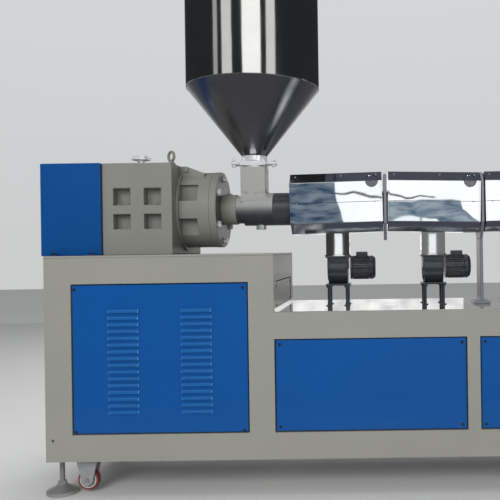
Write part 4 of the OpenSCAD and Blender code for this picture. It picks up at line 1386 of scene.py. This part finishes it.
@dataclass
class Feed:
    """The ring and collar at the barrel's start, the throat with its flange, the hopper and the screw."""

    shop: Workshop
    ring_studs: tuple[int, float] = (6, 118.0)
    neck_r: float = 55.0
    fillet_size: Pair = (13.0, 20.0)
    fillet_steps: tuple[int, int] = (5, 12)
    flange_bolts: Pair = (38.0, 34.0)
    hopper_sheet: float = 2.0
    rim: float = 6.0
    seam_r: float = 1.3
    screw_pitch: float = 65.0

    @property
    def hopper_x(self) -> float:
        """Where the hopper's axis stands along the machine."""
        return Box(*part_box("hopper_body")).mid.x

    def build(self) -> None:
        """Builds the feed's pieces."""
        self.ring_and_collar()
        self.throat()
        self.flange()
        self.hopper()
        self.screw()

    def ring_and_collar(self) -> None:
        """Builds the retaining ring with its studs, and rounds the collar."""
        box, ring, nuts = Box(*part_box("retaining_ring")), Shape(), Shape()
        r, length = box.size.z / 2, box.size.x - 14
        bore = Box(*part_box("barrel_collar")).size.z / 2 + 0.2
        ring.turned([(bore, 0), (r - 2, 0), (r, 2), (r, length - 2), (r - 2, length), (bore + 1, length),
                     (bore, length - 1)], facing((box.low.x, 0, AXIS_Z), Axis.RIGHT), steps=96, closed=True)
        ring.fix_normals()
        # The end face that points along the barrel takes dark oiled steel: painted shade on a face turned
        # from the lamps.
        for face in ring.bm.faces:
            face.material_index = int(face.normal.x > 0.9)
        self.shop.piece("retaining_ring_disc", ring, (CAST_ENAMEL, OILED_STEEL), ("retaining_ring",))
        count, circle = self.ring_studs
        for i in range(count):
            y, z = (circle * way(2 * math.pi * i / count) for way in (math.sin, math.cos))
            nuts.bolt(14, facing((box.low.x + length, y, AXIS_Z + z), Axis.RIGHT, 14), stub=2)
        self.shop.piece("retaining_ring_nuts", nuts, BRIGHT_LIT_PLATE)
        collar = Shape("barrel_collar")
        collar.soften(2.0)
        # The neck's faces take the feed tube's finish, with its painted sheen on top and painted shade below.
        for face in collar.bm.faces:
            face.material_index = int(all(math.hypot(v.co.y, v.co.z - AXIS_Z * MM) < self.neck_r * MM
                                          for v in face.verts))
        self.shop.piece("barrel_collar_turned", collar, (CAST_ENAMEL, TUBE_SHEEN_AND_SHADE), ("barrel_collar",))

    def throat(self) -> None:
        """Joins the throat block to the feed section and finishes its water nipple."""
        # The feed tube takes the finish with painted sheen on top and painted shade below.
        self.shop.rounded("feed_section_tube", "feed_section", TUBE_SHEEN_AND_SHADE, 1.5,
                          keep=lambda e: all(abs(v.co.z / MM - AXIS_Z) < 70 for v in e.verts))
        box, block = Box(*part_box("throat_block")), Shape("throat_block")
        block.soften(4.0, segments=3, keep=lambda e: abs(e.verts[0].co.z - e.verts[1].co.z) > 0.05
                     and abs(abs(e.verts[0].co.y) - box.high.y * MM) < 1e-4)
        self.fillet(block, box)
        self.shop.piece("throat_block_casting", block, THROAT_ENAMEL, ("throat_block",))
        self.shop.rounded("cooling_nipple_turned", "cooling_nipple", ZINC, 1.0)

    def fillet(self, block: Shape, box: Box) -> None:
        """Adds the cast fillet between the throat block and the feed section, as a loft over the tube.

        Args:
            block: The throat block.
            box: Its box.
        """
        r = Box(*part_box("feed_section")).size.y / 2 + 0.4
        (reach, rise), (steps, count) = self.fillet_size, self.fillet_steps
        start, half = box.low.x + 1, box.high.y
        lofts = []
        for step in range(steps + 1):
            angle = math.radians(90 * step / steps)
            out, up = reach * (1 - math.sin(angle)) - 0.5, rise * (1 - math.cos(angle))
            end, side = box.high.x + out, min(half + out, r - 2)
            corners = [(start, -side), (end, -side), (end, side), (start, side)]
            loop = []
            for (ax, ay), (bx, by) in zip(corners, corners[1:] + corners[:1]):
                for f in (i / count for i in range(count)):
                    x, y = ax + (bx - ax) * f, ay + (by - ay) * f
                    z = AXIS_Z + math.sqrt(max(r * r - y * y, (r * r - half * half) * 0.1)) + up
                    loop.append(block.bm.verts.new(Vector((x, y, z)) * MM))
            lofts.append(loop)
        for lower, upper in zip(lofts, lofts[1:]):
            for i in range(len(lower)):
                block.bm.faces.new((lower[i - 1], lower[i], upper[i], upper[i - 1]))
        block.bm.faces.new(lofts[0][::-1])
        block.bm.faces.new(lofts[-1])

    def flange(self) -> None:
        """Builds the hopper's flange plates and the bolts that clamp them."""
        box, bolts = Box(*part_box("throat_flange")), Shape()
        self.shop.rounded("throat_flange_plates", "throat_flange", BRIGHT_LIT_PLATE, 1.5)
        mid_z = box.high.z - 9
        for x in (box.low.x + 9, box.high.x - 9):
            bolts.rod(5, 34, facing((x, -18, mid_z - 14), Axis.UP), 1, 20)
            bolts.bolt(10, facing((x, -18, mid_z + 4), Axis.UP, 8), stub=4)
            bolts.bolt(10, facing((x, -18, mid_z - 4), Axis.DOWN, 8))
        bolt_x, bolt_y = self.flange_bolts
        for x, y in product((self.hopper_x - bolt_x, self.hopper_x + bolt_x), (-bolt_y, bolt_y)):
            bolts.bolt(9, facing((x, y, box.high.z), Axis.UP, 24), stub=4)
            bolts.bolt(9, facing((x, y, box.low.z), Axis.DOWN, 24), washer=False)
        self.shop.piece("throat_bolts", bolts, BRIGHT_LIT_PLATE)

    def hopper(self) -> None:
        """Builds the hopper: collar, cone with its seam, straight part with its rim, and the weld beads."""
        spigot = Box(*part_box("hopper_spigot"))
        middle = Box(*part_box("hopper_cone"))
        upper = Box(*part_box("hopper_body"))
        axis = facing((self.hopper_x, 0, 0), Axis.UP)
        low_r, r, sheet = spigot.size.x / 2, middle.size.x / 2, self.hopper_sheet
        collar, cone, body = Shape(), Shape(), Shape()
        low, high = spigot.low.z, spigot.high.z
        collar.turned([(low_r - 6, low), (low_r - 1.5, low), (low_r, low + 1.5), (low_r, high - 1.5),
                       (low_r - 1.5, high), (low_r - 6, high)], axis, steps=72, closed=True)
        self.shop.piece("hopper_collar", collar, BRIGHT_LIT_PLATE, ("hopper_spigot",))
        low, high = middle.low.z, middle.high.z
        cone.turned([(low_r - sheet, low), (low_r, low), (r, high), (r - sheet, high)], axis, steps=144,
                    closed=True)
        lean = math.degrees(math.atan2(r - low_r, high - low))
        for degrees in (-52, 128):
            seam = axis @ turn(degrees) @ shift(low_r, 0, low) @ turn(lean, "Y") @ shift(z=3)
            cone.rod(self.seam_r, math.hypot(high - low, r - low_r) - 6, seam, sides=8)
        self.shop.piece("hopper_cone_sheet", cone, SATIN_STEEL, ("hopper_cone",))
        low, top, rim = upper.low.z, upper.high.z, self.rim
        body.turned([(r - sheet, low), (r, low), (r, top - 14), (r + rim * 0.6, top - 13),
                     (r + rim, top - 10), (r + rim, top - 4), (r + rim * 0.6, top - 1), (r, top),
                     (r - sheet, top - 1)], axis, steps=144, closed=True)
        body.ring(r - 0.4, 1.6, axis @ shift(z=low), steps=144, sides=8)
        for degrees in (-166, 14):
            body.rod(1, top - low - 16, axis @ turn(degrees) @ shift(r, 0, low + 1), sides=8)
        self.shop.piece("hopper_body_sheet", body, MIRROR_STEEL, ("hopper_body",))

    def screw(self) -> None:
        """Builds the screw with its flight, seen down the throat and at the barrel's free end."""
        box, shape = Box(*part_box("screw")), Shape()
        r, length, pitch = box.size.z / 2, box.size.x, self.screw_pitch
        root = r * 0.72
        place = facing((box.low.x, 0, AXIS_Z), Axis.RIGHT)
        shape.turned([(0, 0), (r, 0), (r, 5), (root, 6), (root, length - 36), (root * 0.55, length - 14),
                      (2, length - 1), (0, length)], place)
        shape.helix(root - 0.5, r - 0.1, 6.5, pitch, (length - 60) / pitch, place @ shift(z=8))
        self.shop.piece("screw_with_flight", shape, MACHINED_STEEL, ("screw",))


# The barrel.


@dataclass
class BarrelUnit:
    """The barrel with its flange, the polished heater covers, the plates between them, and the stands."""

    shop: Workshop
    covers_z: float = 16.0
    cover: tuple[float, float, float, float] = (170.5, 100.0, 112.0, 36.0)
    tilts: tuple[float, ...] = (1.15, -1.3, 0.5, -0.4)
    lip: float = 1.3
    outlet: Triple = (132.5, 23.8, 1.5)

    def build(self) -> None:
        """Builds the barrel's pieces."""
        self.shop.dress(OILED_STEEL, "barrel")
        self.shop.rounded("die_flange_turned", "die_flange", MACHINED_STEEL, 1.5)
        for node in ("upper_covers", "lower_covers"):
            self.shop.rounded(node + "_sheet", node, COVER_STEEL, 1.8, segments=3, least=20.0, most=75.0,
                              length=100)
        self.cover_trim()
        for node, name in (("divider_plates", "divider_sheets"), ("barrel_stands", "barrel_stand_plates")):
            self.shop.rounded(name, node, GREY_ENAMEL, 2.0)

    def cover_trim(self) -> None:
        """Adds the covers' folded hems, dark seams and screws, and the plates in their wiring outlets."""
        hems, screws, seams, plates = Shape(), Shape(), Shape(), Shape()
        half_l, half_w, half_h, chamfer = self.cover
        for box, tilt in zip(islands("upper_covers"), self.tilts):
            place = shift(box.mid.x, 0, AXIS_Z + self.covers_z) @ turn(-tilt, "Y")
            for side in (-1, 1):
                for end in (-1, 1):
                    near = (end * half_l, side * half_w)
                    far = (end * (half_l - 6), side * (half_w + self.lip))
                    hems.block((*near, 0.4), (*far, half_h - chamfer), 0.5, 1, place)
                    hems.block((*near, chamfer - half_h), (*far, -0.4), 0.5, 1, place)
                seams.block((7 - half_l, side * (half_w - 1), -0.9), (half_l - 7, side * (half_w + 0.3), 0.9),
                            matrix=place)
                for x in (-145, 143):
                    screws.screw_head(2.8, 1.8, place @ facing((x, side * (half_w + 0.3), -1), (0, side, 0)))
                for x in (-150, 20, 150):
                    at = (x, side * (half_w - chamfer / 3 * 2), half_h - chamfer / 3)
                    screws.screw_head(3.6, 2.2, place @ facing(at, (0, side, 1)))
            self.outlet_plate(plates, place, half_w - 2.6, half_h - chamfer)
        self.shop.piece("cover_hems", hems, COVER_STEEL)
        self.shop.piece("cover_seams", seams, BLACK_STEEL)
        self.shop.piece("cover_outlet_plates", plates, (GROMMET_STEEL, COVER_STEEL))
        self.shop.piece("cover_screws", screws, BOLT_STEEL)

    def outlet_plate(self, shape: Shape, place: Matrix, depth: float, fold_z: float) -> None:
        """Adds the plate that closes a wiring outlet, a little deeper than the cover.

        Args:
            shape: The mesh that it is added to.
            place: The cover's place.
            depth: How far it lies from the cover's middle.
            fold_z: The height of the cover's fold, which bends it too.
        """
        middle, radius, thick = self.outlet
        rows = []
        for back in (0.0, thick):
            row = []
            for i in range(40):
                x, z = radius * math.cos(math.radians(9 * i)), radius * math.sin(math.radians(9 * i))
                corner = Vector((middle + x, max(z, 0.0) + back - depth, fold_z + z))
                row.append(shape.bm.verts.new(place @ (corner * MM)))
            rows.append(row)
        outer, inner = rows
        for i in range(40):
            j = (i + 1) % 40
            shape.bm.faces.new((outer[i], inner[i], inner[j], outer[j]))
        for row in rows:
            shape.bm.faces.new(row[:21]).material_index = 1
            shape.bm.faces.new(row[20:] + row[:1])


@dataclass
class Blowers:
    """The blowers under the barrel: bright air sleeves, dark housings, finned motors and legs."""

    shop: Workshop
    collar: float = 5.0
    grille: tuple[float, ...] = (12.0, 20.0, 28.0, 36.0)
    disc_in: float = 12.0
    fins: int = 28

    def build(self) -> None:
        """Builds the blowers' pieces."""
        sleeves, cases, motors, legs = Shape("air_ducts"), Shape(), Shape(), Shape()
        sleeves.soften(1.0, least=60.0, length=50)
        for box in islands("air_ducts"):
            self.sleeve_collar(sleeves, box)
        for box in islands("blower_housings"):
            self.case(cases, box)
        for box in islands("blower_motors"):
            self.motor(motors, box)
        for box in islands("blower_legs"):
            x, y = box.mid.xy
            legs.rod(box.size.x / 2, box.size.z, facing((x, y, box.low.z), Axis.UP), sides=20)
            legs.rod(12, 3, facing((x, y, box.low.z), Axis.UP), 0.8)
            legs.hexagon(19, 8, facing((x, y, box.high.z), Axis.DOWN, 10))
        self.shop.piece("air_sleeves", sleeves, SLEEVE_STEEL, ("air_ducts",))
        self.shop.piece("blower_cases", cases, DARK_ENAMEL, ("blower_housings",))
        self.shop.piece("blower_motor_bodies", motors, DARK_ENAMEL, ("blower_motors",))
        self.shop.piece("blower_leg_rods", legs, DARK_ENAMEL, ("blower_legs",))

    def sleeve_collar(self, shape: Shape, box: Box) -> None:
        """Adds the collar round the foot of an air sleeve.

        Args:
            shape: The mesh that it is added to.
            box: The sleeve's box.
        """
        (x0, y0, z), (x1, y1, _), out, lap = box.low, box.high, self.collar, 0.5
        for x, end in ((x0 - out, x0 + lap), (x1 - lap, x1 + out)):
            shape.block((x, y0 - out, z), (end, y1 + out, z + out), 1, 1)
        for y, end in ((y0 - out, y0 + lap), (y1 - lap, y1 + out)):
            shape.block((x0, y, z), (x1, end, z + out), 1, 1)

    def case(self, shape: Shape, box: Box) -> None:
        """Adds a blower's housing: a volute between two discs under a square throat.

        Args:
            shape: The mesh that it is added to.
            box: The box that it fills.
        """
        low, high, r = box.low, box.high, box.size.y / 2
        wide, wheel = box.size.x - 2 * self.disc_in, (low.x + self.disc_in, box.mid.y, low.z + r)
        place = facing(wheel, Axis.RIGHT)
        shape.turned([(0, 0), (r - 6, 0), (r - 3, 3), (r - 3, wide - 3), (r - 6, wide), (0, wide)], place,
                     steps=56)
        for x in (0, wide):
            shape.turned([(r - 8, x - 2), (r, x - 2), (r, x + 2), (r - 8, x + 2)], place, steps=56,
                         closed=True)
        shape.block((low.x + 6, low.y + 12, low.z + r), (high.x - 6, high.y - 12, high.z - 4), 3)
        shape.block((low.x, low.y + 6, high.z - 6), (high.x, high.y - 6, high.z), 1.5)
        shape.block(low, (high.x, high.y, low.z + 6), 1.5)
        grille = facing(wheel, Axis.LEFT)
        for radius in self.grille:
            shape.ring(radius, 1.5, grille @ shift(z=3), steps=36, sides=6)
        shape.turned([(38, 0), (44, 0), (42, 6), (39, 6)], grille, steps=40, closed=True)

    def motor(self, shape: Shape, box: Box) -> None:
        """Adds a blower's motor: a finned barrel between end shields, and a terminal box.

        Args:
            shape: The mesh that it is added to.
            box: The box that it fills.
        """
        x, y, top = box.low.x, box.mid.y, box.high.z
        r, length, place = box.size.z / 2, box.size.x, facing((x, y, box.mid.z), Axis.RIGHT)
        core = r - 6
        shape.turned([(0, 0), (r - 2, 0), (r - 2, 8), (core, 10), (core, length - 26), (r - 2, length - 24),
                      (r - 1, length - 12), (r - 8, length - 2), (r - 14, length), (0, length)], place)
        for i in range(self.fins):
            shape.block((core - 1, -1, 10), (r - 1, 1, length - 26), matrix=place @ turn(360 * i / self.fins))
        shape.block((x + 22, y - 22, top - 8), (x + 66, y + 22, top + 14), 3)


# Light and camera.


@dataclass(frozen=True)
class Lamp:
    """A soft lamp that neither the camera nor mirrors show, aimed at a point."""

    name: str
    at: Triple
    aim: Triple
    size: Pair
    power: float


@dataclass
class Studio:
    """The camera at the photograph's place, the floor, the lamps and the mirrored cards, in metres.

    The cards that the covers mirror end at low_z, and the cards that the sleeves mirror begin there.
    """

    eye: Triple = (0.0035, -2.607, 0.8384)
    roll: float = -0.0145
    lens: float = 48.96
    shift_x: float = -0.25
    hopper_x: float = -0.4535
    floor: Colour = (0.68, 0.68, 0.67)
    dark: Colour = (0.027, 0.028, 0.031)
    side_x: float = 7.0
    front_y: float = -5.2
    near_y: float = -5.08
    back_y: float = 6.0
    roof_z: float = 6.4
    low_z: float = 1.125
    lamps: tuple[Lamp, ...] = (
        Lamp("key", (-2.3, -7.2, 3.6), (0.0, 0.0, 0.9), (4.0, 4.0), 385.0),
        Lamp("fill", (1.4, -4.6, 2.2), (0.2, 0.0, 0.8), (2.4, 2.4), 43.0),
        Lamp("top", (-0.2, 0.2, 4.6), (0.0, 0.0, 0.8), (3.6, 2.2), 65.0),
        Lamp("back", (0.4, 4.0, 3.2), (0.0, 0.0, 0.9), (3.2, 2.2), 82.0),
    )

    def build(self) -> None:
        """Sets up the camera, the floor, the world, the lamps and the cards."""
        self.camera()
        self.ground()
        self.world()
        for lamp in self.lamps:
            self.lamp(lamp)
        self.mirrored_room()
        bpy.context.scene.view_settings.view_transform = "Standard"

    def camera(self) -> None:
        """Puts the camera where the photograph was taken from."""
        data = bpy.data.cameras.new("camera")
        data.lens, data.sensor_width, data.shift_x = self.lens, 36.0, self.shift_x
        data.clip_start, data.clip_end = 0.05, 60.0
        obj = bpy.data.objects.new("camera", data)
        obj.matrix_world = (Matrix.Translation(self.eye) @ Matrix.Rotation(math.radians(90), 4, "X")
                            @ Matrix.Rotation(self.roll, 4, "Z"))
        bpy.context.scene.collection.objects.link(obj)
        bpy.context.scene.camera = obj

    def staged(self, name: str, bm: bmesh.types.BMesh) -> tuple[bpy.types.Object, Board]:
        """Makes a piece of the studio.

        Args:
            name: Its name.
            bm: Its mesh, which is used up.

        Returns:
            The object and its material's board.
        """
        mesh = bpy.data.meshes.new(name)
        bm.to_mesh(mesh)
        bm.free()
        material, board = new_material(name)
        mesh.materials.append(material)
        obj = bpy.data.objects.new(name, mesh)
        bpy.context.scene.collection.objects.link(obj)
        return obj, board

    def ground(self) -> None:
        """Lays a plain pale floor."""
        bm = bmesh.new()
        bmesh.ops.create_grid(bm, x_segments=1, y_segments=1, size=14.0)
        _, board = self.staged("floor", bm)
        shader = board.add("BsdfPrincipled", {"Base Color": (*self.floor, 1.0), "Roughness": 0.7})
        board.add("OutputMaterial", {"Surface": shader.outputs[0]})

    def world(self) -> None:
        """Lights the room evenly from above, and shows a paler one to the camera and to mirrors."""
        world = bpy.data.worlds.new("room")
        world.use_nodes = True
        board = Board(world.node_tree)
        height = board.height(board.add("TexCoord").outputs["Generated"])
        tone = board.blend(board.spread(height, 0.0, 0.7), (0.60, 0.605, 0.61), (0.72, 0.73, 0.75))
        path = board.add("LightPath").outputs
        mirrored = board.math("ADD", path["Is Camera Ray"], path["Is Glossy Ray"])
        seen = board.math("ADD", mirrored, path["Is Transmission Ray"], True)
        glow = board.add("Background", {"Color": tone, "Strength": board.spread(seen, 0.0, 1.0, 0.50, 1.0)})
        board.add("OutputWorld", {"Surface": glow.outputs[0]})
        bpy.context.scene.world = world

    def lamp(self, lamp: Lamp) -> None:
        """Hangs a soft lamp.

        Args:
            lamp: The lamp.
        """
        data = bpy.data.lights.new(lamp.name, "AREA")
        data.shape, data.size, data.size_y = "RECTANGLE", *lamp.size
        data.energy = lamp.power
        obj = bpy.data.objects.new(lamp.name, data)
        way = Vector(lamp.aim) - Vector(lamp.at)
        obj.matrix_world = Matrix.Translation(lamp.at) @ way.to_track_quat("-Z", "Y").to_matrix().to_4x4()
        obj.visible_camera = obj.visible_glossy = False
        bpy.context.scene.collection.objects.link(obj)

    def card(self, name: str, corners: Sequence[Triple], colour: Colour, shade: Colour | None = None) -> None:
        """Stands a card that only mirrors show, and that neither lights nor shades the machine.

        Args:
            name: The card's name.
            corners: Its corners in order.
            colour: Its colour.
            shade: The colour of the streaks in it, where it has any.
        """
        bm = bmesh.new()
        bm.faces.new([bm.verts.new(c) for c in corners])
        obj, board = self.staged(name, bm)
        glow = board.add("Emission", {"Color": (*colour, 1.0), "Strength": 1.0})
        if shade is not None:
            noise = board.noise(board.stretched((1.6, 1.6, 7.0)), 2.2, 5.0, 0.65)
            board.tree.links.new(board.blend(board.spread(noise, 0.40, 0.62), colour, shade),
                                 glow.inputs["Color"])
        board.add("OutputMaterial", {"Surface": glow.outputs[0]})
        for ray in ("camera", "diffuse", "shadow", "transmission", "volume_scatter"):
            setattr(obj, "visible_" + ray, False)

    def upright(self, name: str, start: Pair, end: Pair, heights: Pair, colour: Colour,
                shade: Colour | None = None) -> None:
        """Stands an upright card over a line on the floor, from one height to another."""
        low, high = heights
        self.card(name, [(*start, low), (*end, low), (*end, high), (*start, high)], colour, shade)

    def facade(self, name: str, outline: Sequence[Pair], y: float, colour: Colour) -> None:
        """Stands a card across the front, with its outline given along X and Z."""
        self.card(name, [(x, y, z) for x, z in outline], colour)

    def lying(self, name: str, back_y: float, z: float, colour: Colour) -> None:
        """Lays a card over the room's whole width, from its front wall to a line behind the machine."""
        side, front = self.side_x, self.front_y
        self.card(name, [(-side, front, z), (side, front, z), (side, back_y, z), (-side, back_y, z)], colour)

    def mirrored_room(self) -> None:
        """Stands dark walls and pale cards round the machine, for the polished steel to mirror."""
        side, front, middle, back = self.side_x, self.front_y, 1.5, self.back_y
        near, rear = (-0.2, self.roof_z), (2.9, 7.5)
        for name, start, end, heights in (
                ("card_wall", (-side, front), (side, front), near),
                ("card_left", (-side, middle), (-side, front), near),
                ("card_right", (side, front), (side, middle), near),
                ("card_back", (-side, back), (side, back), rear),
                ("card_left_rear", (-side, middle), (-side, back), rear),
                ("card_right_rear", (side, middle), (side, back), rear)):
            self.upright(name, start, end, heights, self.dark)
        self.lying("card_roof", 3.0, self.roof_z, (0.090, 0.094, 0.120))
        self.lying("card_floor", 5.8, 0.012, (0.15, 0.152, 0.160))
        tray_y, tray_z, split = 5.9, (0.5, 2.4), 1.1
        self.upright("card_tray", (-1.6, tray_y), (split, tray_y), tray_z, (1.2, 1.2, 1.18),
                     (0.42, 0.42, 0.43))
        self.upright("card_tray_end", (split, tray_y), (4.2, tray_y), tray_z, (0.36, 0.36, 0.355),
                     (0.26, 0.26, 0.26))
        self.flange_glow()
        self.hopper_strips()
        self.cover_cards()

    def flange_glow(self) -> None:
        """Lays small cards over the throat's flange for the cone to mirror, less bright further out."""
        middle, z = self.hopper_x + 0.004, 1.2045
        glows = ((0.052, 0.072, 0.014, 1.5), (0.072, 0.090, 0.011, 0.75), (0.090, 0.115, 0.008, 0.30))
        for index, (near, far, half, level) in enumerate(glows):
            x0, x1 = middle - half, middle + half
            self.card(f"card_glow_{index}", [(x0, -far, z), (x1, -far, z), (x1, -near, z), (x0, -near, z)],
                      (level, level, level))

    def hopper_strips(self) -> None:
        """Hangs pale warm strips round the hopper, which it mirrors as upright bands between two angles."""
        reach, heights, warm = 4.6, (2.35, 5.2), (1.0, 0.985, 0.92)
        strips = ((-57.9, -50.1, 0.55), (-41.9, -24.6, 0.95), (-7.4, 22.4, 1.55), (31.4, 46.5, 0.98))
        for index, (start, end, level) in enumerate(strips):
            a, b = ((self.hopper_x + reach * math.sin(v), -reach * math.cos(v))
                    for v in map(math.radians, (start, end)))
            self.upright(f"card_strip_{index}", a, b, heights, tuple(level * c for c in warm))

    def cover_cards(self) -> None:
        """Hangs the cards that the barrel's covers and the air sleeves mirror."""
        low, high, near = self.low_z, 2.25, self.near_y
        mists = (("card_mist", -1.9, -0.30, (0.30, 0.36, 0.41), (0.03, 0.07, 0.14)),
                 ("card_cloud", -0.30, 3.6, (0.52, 0.60, 0.64), (0.13, 0.20, 0.29)))
        for name, start, end, mist, streak in mists:
            self.upright(name, (start, near), (end, near), (low, high), mist, streak)
        pale = ((-0.34, low), (0.13, low), (0.13, 1.375), (0.94, 1.375), (0.96, 1.265), (1.14, 1.147),
                (1.16, low), (2.5, low), (2.5, high), (-0.43, high), (-0.43, 1.37))
        line = ((-0.43, 1.478), (-0.20, 1.482), (-0.04, 1.425), (0.10, 1.410), (0.16, 1.478), (0.34, 1.405),
                (0.50, 1.425), (0.66, 1.400))
        arcs = (((0.15, low), (0.53, low), (0.53, 1.200), (0.42, 1.205), (0.30, 1.190), (0.15, 1.150)),
                ((0.55, low), (0.69, low), (0.66, 1.165), (0.58, 1.190), (0.55, 1.185)))
        self.facade("card_covers", pale, -5.0, (1.6, 1.6, 1.58))
        for index, arc in enumerate(arcs):
            self.facade(f"card_arc_{index}", arc, -5.0, (1.5, 1.5, 1.48))
        half = 0.011
        for index, ((x0, z0), (x1, z1)) in enumerate(zip(line, line[1:])):
            strip = ((x0, z0 - half), (x1, z1 - half), (x1, z1 + half), (x0, z0 + half))
            self.facade(f"card_line_{index}", strip, -4.95, (0.12, 0.11, 0.10))
        self.upright("card_far", (4.3, -5.1), (6.5, -5.1), (1.4, 2.6), (8.0, 8.0, 7.7))
        sleeves = ((-1.4, 0.46, 0.05), (0.46, 0.84, 0.24), (0.84, 3.6, 0.05))
        for index, (start, end, level) in enumerate(sleeves):
            self.upright(f"card_sleeves_{index}", (start, near), (end, near), (0.70, low), (level,) * 3)
        for index, (start, end) in enumerate(((-0.45, -0.34), (0.58, 0.69))):
            self.upright(f"card_stripe_{index}", (start, -5.0), (end, -5.0), (0.75, 1.05), (1.3, 1.3, 1.3))


def main() -> None:
    """Builds the studio and the machine's pieces in order, and writes how large the result is."""
    Studio().build()
    shop = Workshop()
    for part in (BaseFrame(shop), Footing(shop), Drive(shop), Feed(shop), BarrelUnit(shop), Blowers(shop)):
        log.info("building %s", type(part).__name__)
        part.build()
    log.info("%d pieces", len(shop.pieces))


if __name__ == "__main__":
    main()
